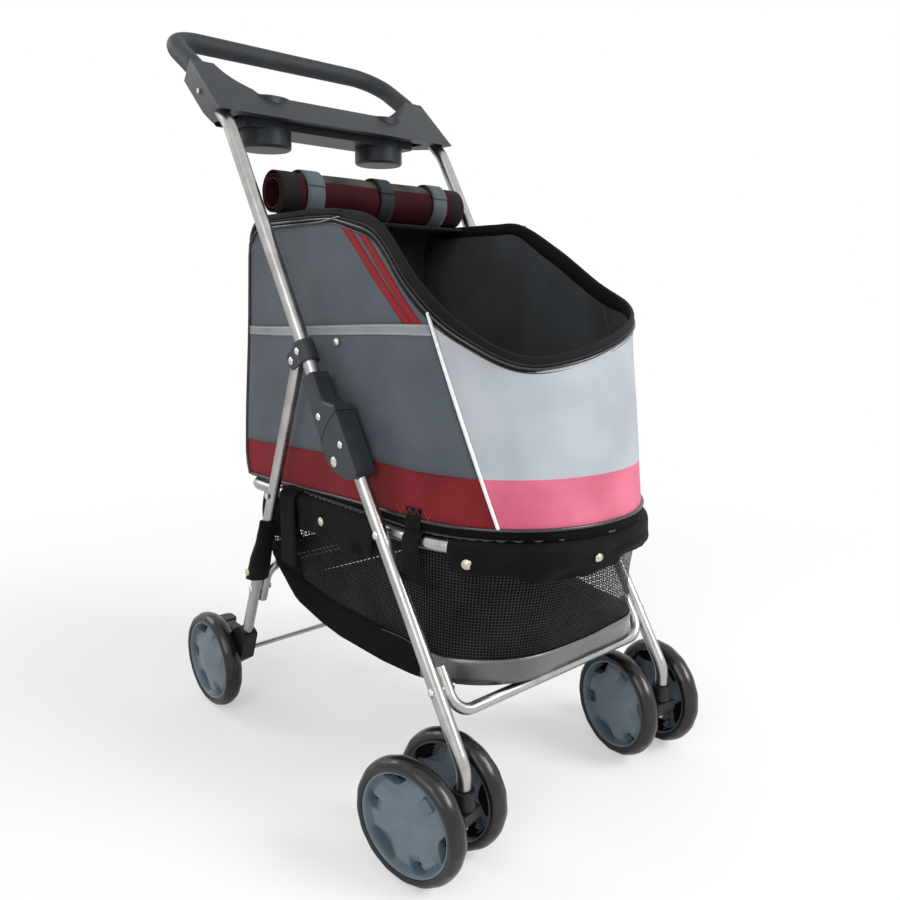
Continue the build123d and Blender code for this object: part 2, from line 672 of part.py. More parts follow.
pedal_tip_y = PEDAL_PIVOT_Y + PEDAL_REACH
pedal_z = PEDAL_PIVOT_Z + PEDAL_LIFT
arm_face = outline(
    [
        (PEDAL_PIVOT_Y, PEDAL_PIVOT_Z - PEDAL_HUB_R + 3),
        (PEDAL_PIVOT_Y, PEDAL_PIVOT_Z + PEDAL_HUB_R),
        (pedal_tip_y - PAD_LENGTH, pedal_z + 5),
        (pedal_tip_y, pedal_z + 7),
        (pedal_tip_y, pedal_z + 2),
        (pedal_tip_y - PAD_LENGTH, pedal_z - 3),
    ]
)
pedal_x_high = FOOT_X_LOW - FACE_GAP
brake_pedal = slab(Plane.YZ, arm_face, pedal_x_high - PEDAL_WIDTH, pedal_x_high)
pad = Pos(pedal_x_high - PEDAL_WIDTH / 2, pedal_tip_y - PAD_LENGTH / 2, pedal_z + 3) * Box(
    PAD_WIDTH, PAD_LENGTH, 7
)
brake_pedal += fillet(pad.edges().filter_by(Axis.Z), 6)
brake_pedal += rod_x(
    PEDAL_PIVOT_Y, PEDAL_PIVOT_Z, PEDAL_HUB_R, pedal_x_high - PEDAL_WIDTH, pedal_x_high
)
brake_pedal -= rod_x(
    PEDAL_PIVOT_Y, PEDAL_PIVOT_Z, PEDAL_PIN_R + RUNNING_GAP, FOOT_X_LOW - 28, FOOT_X_LOW
)
both_sides("brake_pedal", brake_pedal)

# ---------------------------------------------------------------- wheels

RIM_R = WHEEL_R - TYRE_DEPTH
RIM_THICKNESS = 3.5
HUB_R = 13.0
WEB_FACE = 8.0              # outer face of the web, from the wheel's middle
WEB_THICKNESS = 4.0
STAR_RAISE = 2.2
STAR_MIDDLE_R = 24.0
LOBE_R = 12.5
LOBE_AT = 38.0
WINDOW_AT = 43.5
SLOT_AT = 48.5


def wheel_rim():
    """Moulded wheel: barrel, web with windows, raised three-lobed star, domed hub."""
    half = WHEEL_WIDTH / 2
    section = make_face(
        Polyline(
            (0, -half), (HUB_R, -half), (HUB_R + 1.5, WEB_FACE - WEB_THICKNESS),
            (RIM_R - RIM_THICKNESS, WEB_FACE - WEB_THICKNESS - 2.5),
            (RIM_R - RIM_THICKNESS, -half + 3), (RIM_R - FIXED_GAP, -half + 2),
            (RIM_R - FIXED_GAP, half - 2.5), (RIM_R - RIM_THICKNESS, half - 2),
            (RIM_R - RIM_THICKNESS - 1, WEB_FACE - 2.5), (HUB_R + 4, WEB_FACE),
            (HUB_R - 3, WEB_FACE + STAR_RAISE + 1.5), (0, WEB_FACE + STAR_RAISE + 3),
            close=True,
        )
    )
    rim = revolve(Plane.XZ * section, Axis.Z)
    star = Circle(STAR_MIDDLE_R)
    for turn in (0, 120, 240):
        lobe = SlotCenterToCenter(LOBE_AT, 2 * LOBE_R)
        star += Rot(0, 0, turn) * Pos(LOBE_AT / 2, 0) * lobe
    rim += Pos(0, 0, WEB_FACE - 2.5) * extrude(star, amount=STAR_RAISE + 2.5)
    for turn in (0, 120, 240):
        window = Rot(0, 0, turn + 60) * Pos(WINDOW_AT, 0) * Ellipse(9, 16)
        slot = Rot(0, 0, turn) * Pos(SLOT_AT, 0) * Rectangle(8, 16)
        rim -= Pos(0, 0, -half) * extrude(window, amount=WHEEL_WIDTH)
        rim -= Pos(0, 0, -half) * extrude(slot, amount=WHEEL_WIDTH)
    bore_length = half + BORE_DEPTH_PAST_MIDDLE
    bore = Pos(0, 0, -half + bore_length / 2) * Cylinder(AXLE_D / 2 + RUNNING_GAP, bore_length)
    return rim - bore


def wheel_tyre():
    """Solid tyre with rounded shoulders, seated on the rim."""
    half = WHEEL_WIDTH / 2
    shoulder = WHEEL_R - 2.6
    section = make_face(
        [
            Line((RIM_R, -half + 1.5), (RIM_R, half - 1.5)),
            Line((RIM_R, half - 1.5), (WHEEL_R - 8, half)),
            ThreePointArc((WHEEL_R - 8, half), (shoulder, half - 3.6), (WHEEL_R, half - 9)),
            Line((WHEEL_R, half - 9), (WHEEL_R, 9 - half)),
            ThreePointArc((WHEEL_R, 9 - half), (shoulder, 3.6 - half), (WHEEL_R - 8, -half)),
            Line((WHEEL_R - 8, -half), (RIM_R, -half + 1.5)),
        ]
    )
    return revolve(Plane.XZ * section, Axis.Z)


rim_blank = wheel_rim()
tyre_blank = wheel_tyre()
outward = Rot(0, 90, 0)
inward = Rot(0, -90, 0)

rear_wheel_place = Pos(REAR_WHEEL_X, REAR_AXLE_Y, WHEEL_R) * outward
both_sides("rear_rim", rear_wheel_place * rim_blank)
both_sides("rear_tyre", rear_wheel_place * tyre_blank)

# ---------------------------------------------------------------- casters

SOCKET_TOP_Z = 112.0
SOCKET_FOOT_Z = 90.0
SOCKET_OUTER_R = 14.0
BUSHING_TOP_Z = 119.0
HOUSING_HALF_WIDTH = 16.0
STEM_FOOT_Z = 64.0

caster_place = Pos(FRAME_X, CASTER_Y, 0) * Rot(0, 0, -CASTER_TURN)

leg_bore_r = FRONT_LEG_D / 2 - LEG_WALL
socket_section = make_face(
    Polyline(
        (STEM_D / 2 + RUNNING_GAP, SOCKET_FOOT_Z), (SOCKET_OUTER_R - 1.5, SOCKET_FOOT_Z),
        (SOCKET_OUTER_R, SOCKET_FOOT_Z + 2), (SOCKET_OUTER_R - 1.5, SOCKET_TOP_Z),
        (FRONT_LEG_D / 2 + FIXED_GAP, SOCKET_TOP_Z),
        (FRONT_LEG_D / 2 + FIXED_GAP, LEG_FOOT_Z), (leg_bore_r - FIXED_GAP, LEG_FOOT_Z),
        (leg_bore_r - FIXED_GAP, BUSHING_TOP_Z), (STEM_D / 2 + RUNNING_GAP, BUSHING_TOP_Z),
        close=True,
    )
)
caster_socket = Pos(FRAME_X, CASTER_Y, 0) * revolve(Plane.XZ * socket_section, Axis.Z)
both_sides("caster_socket", caster_socket)

housing_top = SOCKET_FOOT_Z - FACE_GAP
housing_face = make_face(
    [
        Line((-13, housing_top - 12), (-13, housing_top)),
        Line((-13, housing_top), (22, housing_top)),
        Spline(
            (22, housing_top), (CASTER_TRAIL + 4, WHEEL_R + 17.5),
            (CASTER_TRAIL + 18, WHEEL_R), tangents=[(1, 0.25), (0, -1)],
        ),
        ThreePointArc(
            (CASTER_TRAIL + 18, WHEEL_R), (CASTER_TRAIL, WHEEL_R - 18),
            (CASTER_TRAIL - 18, WHEEL_R - 8),
        ),
        Spline(
            (CASTER_TRAIL - 18, WHEEL_R - 8), (8, WHEEL_R - 15), (-13, housing_top - 12),
            tangents=[(-0.6, 0.6), (-0.6, 1)],
        ),
    ]
)
caster_housing = slab(Plane.YZ, housing_face, -HOUSING_HALF_WIDTH, HOUSING_HALF_WIDTH)
spacer = FRONT_WHEEL_OFFSET - WHEEL_WIDTH / 2 - FACE_GAP
caster_housing += rod_x(CASTER_TRAIL, WHEEL_R, 9.0, -spacer, spacer)
caster_housing -= rod_x(CASTER_TRAIL, WHEEL_R, AXLE_D / 2 + FIXED_GAP, -40, 40)
stem_hole = Cylinder(STEM_D / 2 + FIXED_GAP, housing_top - STEM_FOOT_Z + 1)
caster_housing -= Pos(0, 0, (housing_top + STEM_FOOT_Z + 1) / 2) * stem_hole
both_sides("caster_housing", caster_place * caster_housing)

stem_top_z = BUSHING_TOP_Z + 2.0
stem = Pos(0, 0, (stem_top_z + STEM_FOOT_Z) / 2) * Cylinder(STEM_D / 2, stem_top_z - STEM_FOOT_Z)
both_sides("caster_stem", caster_place * stem)

front_axle_end = FRONT_WHEEL_OFFSET + BORE_DEPTH_PAST_MIDDLE - FACE_GAP
front_axle = rod_x(CASTER_TRAIL, WHEEL_R, AXLE_D / 2, -front_axle_end, front_axle_end)
both_sides("front_axle", caster_place * front_axle)

for place_name, offset, facing in (
    ("outer", FRONT_WHEEL_OFFSET, outward), ("inner", -FRONT_WHEEL_OFFSET, inward),
):
    hub_place = caster_place * Pos(offset, CASTER_TRAIL, WHEEL_R) * facing
    both_sides(f"front_{place_name}_rim", hub_place * rim_blank)
    both_sides(f"front_{place_name}_tyre", hub_place * tyre_blank)

# ---------------------------------------------------------------- ring tube

RING_WALL = 1.5

ring_half = tube(
    [
        (0, RING_REAR_Y, RING_Z), (RING_HALF_WIDTH, RING_REAR_Y, RING_Z),
        (RING_HALF_WIDTH, RING_FRONT_Y, RING_Z), (0, RING_FRONT_Y, RING_Z),
    ],
    [RING_REAR_R, RING_FRONT_R], RING_TUBE_D, RING_WALL,
)
ring_tube = ring_half + mirror(ring_half, Plane.YZ)
ring_tube -= rod_x(ring_front_pivot.Y, RING_Z, BOLT_R + RUNNING_GAP, -CUT_HALF, CUT_HALF)
write("ring_tube", ring_tube)

# ---------------------------------------------------------------- carrier

HEM_THICKNESS = 0.6
CARRIER_LOW_Z = RING_Z + RING_TUBE_D / 2 + HEM_THICKNESS + 2 * SOFT_GAP
CARRIER_HEIGHT = CARRIER_TOP_Z - CARRIER_LOW_Z
RIM_LOW_Z = CARRIER_LOW_Z + 0.596 * CARRIER_HEIGHT  # opening's edge at the front
RIM_HIGH_Z = CARRIER_TOP_Z - 5.0    # opening's edge beside the rolled cover
CARRIER_FLOOR = 3.0
REAR_PANEL_R = 18.0
TOP_CORNER_R = 34.0         # rounding of the rear wall into the top panel, seen from the side
BINDING_DEPTH = 14.0
BINDING_PROUD = 0.8
BOARD_THICKNESS = 6.0
PAD_THICKNESS = 15.0


def carrier_outline(front_y, rear_y, half_width, inset):
    """Plan outline of the carrier, with a round front and tight rear corners."""
    face = make_face(
        Polyline(
            (-half_width, rear_y), (half_width, rear_y),
            (half_width, front_y), (-half_width, front_y),
            close=True,
        )
    )
    face = fillet(face.vertices().group_by(Axis.Y)[0], half_width - FRONT_FLAT)
    return fillet(face.vertices().group_by(Axis.Y)[-1], REAR_PANEL_R - inset)


def carrier_body(inset, low_z, high_z):
    """Solid body between two heights of the leaning carrier, inset from its skin."""
    levels = []
    for z in (low_z, high_z):
        rise = (z - CARRIER_LOW_Z) / CARRIER_HEIGHT
        front_y = CARRIER_FRONT_Y + CARRIER_LEAN_FRONT * rise + inset
        rear_y = CARRIER_REAR_Y - CARRIER_LEAN_REAR * rise - inset
        half_width = CARRIER_HALF_WIDTH - CARRIER_LEAN_SIDE * rise - inset
        level = carrier_outline(front_y, rear_y, half_width, inset)
        levels.append(Pos(0, 0, z) * level)
    return loft(levels, ruled=True) - outside_top_corner(inset, high_z)


def outside_top_corner(inset, high_z):
    """What lies outside the rounding between the rear wall and the top panel."""
    radius = TOP_CORNER_R - inset
    middle_y = CARRIER_REAR_Y - CARRIER_LEAN_REAR - TOP_CORNER_R
    middle_z = CARRIER_TOP_Z - TOP_CORNER_R
    if high_z < middle_z:
        return Part()
    face = Pos(middle_y, middle_z) * (
        Pos(radius, radius) * Rectangle(2 * radius, 2 * radius) - Circle(radius)
    )
    return slab(Plane.YZ, face, -CUT_HALF, CUT_HALF)


def above_rim(drop):
    """Everything over the opening's edge, with that edge moved out by drop."""
    high = RIM_HIGH_Z - drop
    low = RIM_LOW_Z - drop
    rear_y = OPENING_REAR_Y + drop
    run = CARRIER_FRONT_Y - OPENING_REAR_Y
    fall = low - high
    rim = Spline(
        (OPENING_REAR_Y + 0.32 * run, high),
        (OPENING_REAR_Y + 0.47 * run, high + 0.19 * fall),
        (OPENING_REAR_Y + 0.635 * run, high + 0.55 * fall),
        (OPENING_REAR_Y + 0.8 * run, high + 0.84 * fall),
        (OPENING_REAR_Y + 0.94 * run, low),
        (OPENING_REAR_Y + 1.18 * run, low - 8),
        tangents=[(-1, 0), (-1, 0)],
    )
    clear_z = CARRIER_TOP_Z + 50
    face = make_face(
        [
            Line((rear_y, high), rim @ 0),
            rim,
            Line(rim @ 1, ((rim @ 1).X, clear_z)),
            Line(((rim @ 1).X, clear_z), (rear_y, clear_z)),
            Line((rear_y, clear_z), (rear_y, high)),
        ]
    )
    return slab(Plane.YZ, face, -CUT_HALF, CUT_HALF)


cabin = carrier_body(
    CARRIER_WALL, CARRIER_LOW_Z + CARRIER_FLOOR, CARRIER_TOP_Z - CARRIER_WALL
)
carrier_shell = carrier_body(0, CARRIER_LOW_Z, CARRIER_TOP_Z) - cabin
carrier_shell -= above_rim(BINDING_DEPTH)
write("carrier_shell", carrier_shell)

binding = carrier_body(-BINDING_PROUD, CARRIER_LOW_Z, CARRIER_TOP_Z + BINDING_PROUD) - cabin
binding &= above_rim(BINDING_DEPTH - SOFT_GAP) - above_rim(0)
write("opening_binding", binding)

board_inset = CARRIER_WALL + SOFT_GAP
board_low = CARRIER_LOW_Z + CARRIER_FLOOR + SOFT_GAP
board_high = board_low + BOARD_THICKNESS
write("base_board", carrier_body(board_inset, board_low, board_high))
pad_low = board_high + SOFT_GAP
write("floor_pad", carrier_body(board_inset + 1, pad_low, pad_low + PAD_THICKNESS))

POCKET_THICKNESS = 1.2
POCKET_LOW_Z = CARRIER_LOW_Z + 0.2 * CARRIER_HEIGHT
POCKET_HEIGHT = 0.42 * CARRIER_HEIGHT
POCKET_FRONT_Y = CARRIER_FRONT_Y + 119.0
POCKET_REAR_Y = CARRIER_REAR_Y - 36.0

pocket_face = outline(
    [
        (POCKET_FRONT_Y, POCKET_LOW_Z), (POCKET_REAR_Y, POCKET_LOW_Z),
        (POCKET_REAR_Y, POCKET_LOW_Z + POCKET_HEIGHT),
        (POCKET_FRONT_Y, POCKET_LOW_Z + POCKET_HEIGHT),
    ]
)
side_pocket = carrier_body(-SOFT_GAP - POCKET_THICKNESS, CARRIER_LOW_Z, CARRIER_TOP_Z)
side_pocket -= carrier_body(-SOFT_GAP, CARRIER_LOW_Z, CARRIER_TOP_Z)
side_pocket &= slab(Plane.YZ, pocket_face, 20, CUT_HALF)
group("side_pockets", mirrored_pair(side_pocket))

# ---------------------------------------------------------------- rolled cover

ROLL_R = 31.0
ROLL_HOLLOW_R = 19.0
ROLL_HALF_LENGTH = CARRIER_HALF_WIDTH - 10.0
ROLL_Y = OPENING_REAR_Y + 33.0
STRAP_THICKNESS = 2.0

strap_inner_r = ROLL_R + SOFT_GAP
strap_outer_r = strap_inner_r + STRAP_THICKNESS
roll_z = CARRIER_TOP_Z + SOFT_GAP + strap_outer_r
roll = rod_x(ROLL_Y, roll_z, ROLL_R, -ROLL_HALF_LENGTH, ROLL_HALF_LENGTH)
roll -= rod_x(ROLL_Y, roll_z, ROLL_HOLLOW_R, -ROLL_HALF_LENGTH, ROLL_HALF_LENGTH)
write("cover_roll", fillet(roll.edges().filter_by(GeomType.CIRCLE), 3.0))

cover_straps = []
for strap_x, strap_width in ((-110.0, 27.0), (0.0, 20.0), (110.0, 27.0)):
    low_x = strap_x - strap_width / 2
    high_x = strap_x + strap_width / 2
    band = rod_x(ROLL_Y, roll_z, strap_outer_r, low_x, high_x)
    band -= rod_x(ROLL_Y, roll_z, strap_inner_r, low_x - 1, high_x + 1)
    cover_straps.append(band)
group("cover_straps", cover_straps)

# ---------------------------------------------------------------- basket

BASKET_TOP_Z = RING_Z - RING_TUBE_D / 2 - HEM_THICKNESS - SOFT_GAP - 0.4
BASKET_TOP_HALF = RING_HALF_WIDTH - 1.0
BASKET_REAR_Y = RING_REAR_Y - 24.0
BASKET_BOTTOM_HALF = RING_HALF_WIDTH - 15.0
BASKET_BOTTOM_FRONT_Y = RING_FRONT_Y + 47.0
BASKET_BOTTOM_R = 75.0
FRONT_HEM_Y = RING_FRONT_Y + 97.0   # the front hem's ends, in front of the front legs
SIDE_HEM_FRONT_Y = -135.5
SIDE_HEM_REAR_Y = 46.5


def basket_outline(half_width, front_y, front_r, inset):
    """Plan outline of the basket, with a round front; its rear is cut off afterwards."""
    face = make_face(
        Polyline(
            (-half_width + inset, RING_REAR_Y), (half_width - inset, RING_REAR_Y),
            (half_width - inset, front_y + inset), (-half_width + inset, front_y + inset),
            close=True,
        )
    )
    return fillet(face.vertices().group_by(Axis.Y)[0], front_r - inset)


def basket_body(inset, top_z):
    """Solid body of the hanging basket, inset from its skin."""
    low_z = BASKET_BOTTOM_Z + inset
    low = basket_outline(BASKET_BOTTOM_HALF, BASKET_BOTTOM_FRONT_Y, BASKET_BOTTOM_R, inset)
    top = basket_outline(BASKET_TOP_HALF, RING_FRONT_Y, RING_FRONT_R, inset)
    rear = BASKET_REAR_Y - inset
    side = outline(
        [
            (RING_FRONT_Y - 10, top_z), (RING_FRONT_Y - 10, low_z), (rear - 110, low_z),
            (rear - 64, low_z + 10), (rear - 39, low_z + 40), (rear, top_z),
        ]
    )
    body = loft([Pos(0, 0, low_z) * low, Pos(0, 0, top_z) * top], ruled=True)
    return body & slab(Plane.YZ, side, -CUT_HALF, CUT_HALF)


basket = basket_body(0, BASKET_TOP_Z) - basket_body(BASKET_WALL, BASKET_TOP_Z)
write("basket", basket)

hem_d = RING_TUBE_D + 2 * (SOFT_GAP + HEM_THICKNESS)
hem_start_y = RING_FRONT_Y + RING_FRONT_R + 2
front_hem = tube(
    [
        (RING_HALF_WIDTH, hem_start_y, RING_Z), (RING_HALF_WIDTH, RING_FRONT_Y, RING_Z),
        (-RING_HALF_WIDTH, RING_FRONT_Y, RING_Z), (-RING_HALF_WIDTH, hem_start_y, RING_Z),
    ],
    [RING_FRONT_R, RING_FRONT_R], hem_d, HEM_THICKNESS,
)
kept = Pos(0, FRONT_HEM_Y - 100, RING_Z) * Box(2 * CUT_HALF, 200, 50)
side_hem = tube(
    [(RING_HALF_WIDTH, SIDE_HEM_REAR_Y, RING_Z), (RING_HALF_WIDTH, SIDE_HEM_FRONT_Y, RING_Z)],
    [], hem_d, HEM_THICKNESS,
)
group("basket_hems", [front_hem & kept] + mirrored_pair(side_hem))
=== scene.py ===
import bpy
import bmesh
import json
from math import atan2, cos, pi, radians, sin, sqrt
from mathutils import Matrix, Vector, noise


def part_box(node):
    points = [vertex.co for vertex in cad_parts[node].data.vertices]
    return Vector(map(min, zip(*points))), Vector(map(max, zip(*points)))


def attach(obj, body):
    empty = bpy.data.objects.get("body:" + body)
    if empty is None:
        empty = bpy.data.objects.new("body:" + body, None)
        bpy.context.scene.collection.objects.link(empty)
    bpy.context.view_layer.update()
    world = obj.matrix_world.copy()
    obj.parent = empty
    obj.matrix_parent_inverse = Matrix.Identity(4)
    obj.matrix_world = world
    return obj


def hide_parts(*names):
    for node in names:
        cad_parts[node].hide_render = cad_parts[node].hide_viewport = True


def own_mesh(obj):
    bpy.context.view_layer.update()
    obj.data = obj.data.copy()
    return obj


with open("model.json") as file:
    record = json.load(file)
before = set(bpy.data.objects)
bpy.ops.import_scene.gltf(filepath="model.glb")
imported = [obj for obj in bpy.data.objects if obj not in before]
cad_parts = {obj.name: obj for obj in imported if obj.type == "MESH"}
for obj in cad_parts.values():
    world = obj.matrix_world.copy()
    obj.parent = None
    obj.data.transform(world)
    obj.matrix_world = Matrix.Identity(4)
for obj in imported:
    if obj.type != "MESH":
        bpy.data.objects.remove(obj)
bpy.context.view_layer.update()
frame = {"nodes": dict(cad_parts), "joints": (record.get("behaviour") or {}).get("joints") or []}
nodes = frame["nodes"]

# ------------------------------------------------------------------ studio
# A pale floor that fades into a white room, one broad key lamp over the
# stroller's left front corner, a fill lamp and an even sky.

azimuth, pitch, roll = radians(-41.865), radians(12.097), radians(0.5325)
look = Vector((-sin(azimuth) * cos(pitch), cos(azimuth) * cos(pitch), -sin(pitch)))
level_right = Vector((cos(azimuth), sin(azimuth), 0))
level_up = level_right.cross(look)
right = level_right * cos(roll) + level_up * sin(roll)
up = level_up * cos(roll) - level_right * sin(roll)

camera = bpy.data.objects.new("camera", bpy.data.cameras.new("camera"))
bpy.context.scene.collection.objects.link(camera)
camera.matrix_world = Matrix.Translation((-0.7393, -0.9007, 0.6478)) @ Matrix(
    (right, up, -look)
).transposed().to_4x4()
camera.data.sensor_width = 36
camera.data.lens = 32.52
camera.data.shift_y = 0.0194
bpy.context.scene.camera = camera
bpy.context.scene.view_settings.view_transform = "Standard"


def lamp(name, place, aim, size, power):
    """A soft square lamp that points at aim."""
    data = bpy.data.lights.new(name, "AREA")
    data.size = size
    data.energy = power
    lamp_object = bpy.data.objects.new(name, data)
    bpy.context.scene.collection.objects.link(lamp_object)
    lamp_object.location = place
    lamp_object.rotation_euler = (Vector(aim) - Vector(place)).to_track_quat("-Z", "Y").to_euler()


lamp("key_lamp", (1.3, -2.5, 2.3), (0, 0, 0.5), 1.4, 78)
lamp("fill_lamp", (-2.3, -1.2, 1.9), (0, 0, 0.5), 1.6, 26)
lamp("rear_lamp", (-1.2, 2.4, 2.2), (0, 0, 0.6), 1.2, 20)

room = bpy.data.worlds.new("room")
bpy.context.scene.world = room
room.use_nodes = True
sky = room.node_tree
daylight = sky.nodes["Background"]
daylight.inputs["Color"].default_value = (1, 1, 1, 1)
daylight.inputs["Strength"].default_value = 0.52
white_wall = sky.nodes.new("ShaderNodeBackground")
white_wall.inputs["Color"].default_value = (1, 1, 1, 1)
white_wall.inputs["Strength"].default_value = 1.0
rays = sky.nodes.new("ShaderNodeLightPath")
seen = sky.nodes.new("ShaderNodeMath")
seen.operation = "MAXIMUM"
sky.links.new(rays.outputs["Is Camera Ray"], seen.inputs[0])
sky.links.new(rays.outputs["Is Transmission Ray"], seen.inputs[1])
seen_or_mirrored = sky.nodes.new("ShaderNodeMath")
seen_or_mirrored.operation = "MAXIMUM"
sky.links.new(seen.outputs[0], seen_or_mirrored.inputs[0])
sky.links.new(rays.outputs["Is Glossy Ray"], seen_or_mirrored.inputs[1])
shown_sky = sky.nodes.new("ShaderNodeMixShader")
sky.links.new(seen_or_mirrored.outputs[0], shown_sky.inputs[0])
sky.links.new(daylight.outputs[0], shown_sky.inputs[1])
sky.links.new(white_wall.outputs[0], shown_sky.inputs[2])
sky.links.new(shown_sky.outputs[0], sky.nodes["World Output"].inputs["Surface"])


class Value:
    """One output of a material's nodes, so that shader maths reads as plain sums."""

    def __init__(self, output):
        self.output = output

    def math(self, operation, *others):
        node = self.output.id_data.nodes.new("ShaderNodeMath")
        node.operation = operation
        for socket, value in zip(node.inputs, others):
            if isinstance(value, Value):
                self.output.id_data.links.new(value.output, socket)
            else:
                socket.default_value = value
        return Value(node.outputs[0])

    def __add__(self, other):
        return self.math("ADD", self, other)

    def __sub__(self, other):
        return self.math("SUBTRACT", self, other)

    def __rsub__(self, other):
        return self.math("SUBTRACT", other, self)

    def __mul__(self, other):
        return self.math("MULTIPLY", self, other)

    def __lt__(self, other):
        return self.math("LESS_THAN", self, other)

    def __abs__(self):
        return self.math("ABSOLUTE", self)

    __radd__ = __add__
    __rmul__ = __mul__


class Finish:
    """A material: its Principled shader with fixed values, and nodes that feed it."""

    def __init__(self, name, colour, roughness, **fixed):
        self.material = bpy.data.materials.new(name)
        self.material.use_nodes = True
        self.tree = self.material.node_tree
        self.shader = self.tree.nodes["Principled BSDF"]
        self.shader.inputs["Base Color"].default_value = (*colour, 1)
        self.shader.inputs["Roughness"].default_value = roughness
        for socket, value in fixed.items():
            self.shader.inputs[socket.replace("_", " ")].default_value = value

    def node(self, kind, settings, inputs, output=0):
        """Add a node, give it its settings and then its sockets' values or links."""
        node = self.tree.nodes.new(kind)
        for name, value in settings.items():
            if name == "stops":
                for index, (place, colour) in enumerate(value):
                    if index > 1:
                        node.color_ramp.elements.new(place)
                    node.color_ramp.elements[index].position = place
                    node.color_ramp.elements[index].color = (*colour, 1)
            else:
                setattr(node, name, value)
        for socket, value in inputs.items():
            if isinstance(value, Value):
                self.tree.links.new(value.output, node.inputs[socket])
            else:
                node.inputs[socket].default_value = value
        return Value(node.outputs[output])

    def place(self, scale=(1, 1, 1), turn=(0, 0, 0), source="Object"):
        """Coordinates of the surface, in metres times scale."""
        found = self.node("ShaderNodeTexCoord", {}, {}, source)
        return self.node(
            "ShaderNodeMapping", {}, {"Vector": found, "Scale": scale, "Rotation": turn}
        )

    def axis(self, where, name):
        return self.node("ShaderNodeSeparateXYZ", {}, {"Vector": where}, name)

    def noise(self, where, scale, detail=2.0, roughness=0.5):
        return self.node(
            "ShaderNodeTexNoise", {},
            {"Vector": where, "Scale": scale, "Detail": detail, "Roughness": roughness},
        )

    def ramp(self, factor, *stops):
        return self.node("ShaderNodeValToRGB", {"stops": stops}, {"Fac": factor})

    def feed(self, socket, value):
        self.tree.links.new(value.output, self.shader.inputs[socket])

    def relief(self, height, distance, strength=1.0):
        bump = self.node(
            "ShaderNodeBump", {}, {"Height": height, "Distance": distance, "Strength": strength}
        )
        self.feed("Normal", bump)

    def wear(self, *cad_nodes):
        """Give this finish to CAD nodes by name."""
        for name in cad_nodes:
            for material_slot in nodes[name].material_slots:
                material_slot.material = self.material


floor_mesh = bpy.data.meshes.new("floor")
floor_shape = bmesh.new()
bmesh.ops.create_grid(floor_shape, x_segments=2, y_segments=2, size=30)
floor_shape.to_mesh(floor_mesh)
floor_shape.free()
floor = bpy.data.objects.new("floor", floor_mesh)
bpy.context.scene.collection.objects.link(floor)
floor_paint = Finish("floor_paint", (0.93, 0.93, 0.93), 0.9)
floor_place = floor_paint.place()
from_middle = floor_paint.node(
    "ShaderNodeVectorMath", {"operation": "LENGTH"}, {0: floor_place}, "Value"
)
far_share = floor_paint.node(
    "ShaderNodeMapRange", {"interpolation_type": "SMOOTHSTEP"},
    {"Value": from_middle, "From Min": 0.55, "From Max": 1.7, "To Min": 0.45, "To Max": 1.0},
)
floor_rays = floor_paint.tree.nodes.new("ShaderNodeLightPath")
white_light = floor_paint.tree.nodes.new("ShaderNodeEmission")
white_light.inputs["Color"].default_value = (1, 1, 1, 1)
floor_mix = floor_paint.tree.nodes.new("ShaderNodeMixShader")
floor_share = far_share * Value(floor_rays.outputs["Is Camera Ray"])
floor_paint.tree.links.new(floor_share.output, floor_mix.inputs[0])
floor_paint.tree.links.new(floor_paint.shader.outputs[0], floor_mix.inputs[1])
floor_paint.tree.links.new(white_light.outputs[0], floor_mix.inputs[2])
floor_paint.tree.links.new(
    floor_mix.outputs[0], floor_paint.tree.nodes["Material Output"].inputs["Surface"]
)
floor_mesh.materials.append(floor_paint.material)

# ------------------------------------------------------------------ frame tubes
# Bent steel tubes with a satin silver finish: the handle, the front and rear
# legs, their cross tubes and the ring tube. Faint draw marks run round them.

silver = Finish("satin_silver", (0.42, 0.415, 0.40), 0.26, Metallic=1.0)
silver_place = silver.place()
draw_marks = silver.noise(silver.place(scale=(60, 60, 900)), 1.0, 3.0)
handling = silver.noise(silver_place, 38.0, 3.0)
silver.feed("Roughness", 0.2 + 0.14 * handling + 0.05 * draw_marks)
silver.feed(
    "Base Color",
    silver.ramp(handling, (0.3, (0.36, 0.355, 0.345)), (0.7, (0.46, 0.455, 0.44))),
)
silver.relief(draw_marks, 0.00004)
silver.wear(
    "handle_tube", "front_leg_left", "front_leg_right", "rear_leg_left", "rear_leg_right",
    "front_cross_tube", "rear_cross_tube", "ring_tube",
)

# ------------------------------------------------------------------ rivets, bolts and axles
# Nickel-plated steel. Rivet heads are peened smooth; axles and caster stems
# are ground rod and carry fine marks along their length.

nickel = Finish("nickel_plate", (0.62, 0.61, 0.58), 0.24, Metallic=1.0)
nickel_marks = nickel.noise(nickel.place(), 420.0, 4.0)
nickel.feed("Roughness", 0.16 + 0.2 * nickel_marks)
nickel.relief(nickel_marks, 0.00006)
nickel.wear(
    "front_frame_rivets", "fold_pins", "ring_bolts", "handle_rivets", "rear_leg_pins",
    "rear_frame_bolts", "tray_screws",
)

ground_rod = Finish("ground_rod", (0.5, 0.5, 0.49), 0.35, Metallic=1.0)
rod_marks = ground_rod.noise(ground_rod.place(scale=(30, 500, 500)), 1.0, 4.0)
ground_rod.feed("Roughness", 0.25 + 0.25 * rod_marks)
ground_rod.relief(rod_marks, 0.00005)
ground_rod.wear(
    "rear_axle", "front_axle_left", "front_axle_right", "caster_stem_left", "caster_stem_right"
)

# ------------------------------------------------------------------ moulded frame fittings
# Glass-filled nylon in dark slate: fold housings, leg brackets, rear feet,
# caster sockets and housings, pedals and the cup tray, all with a fine grain.


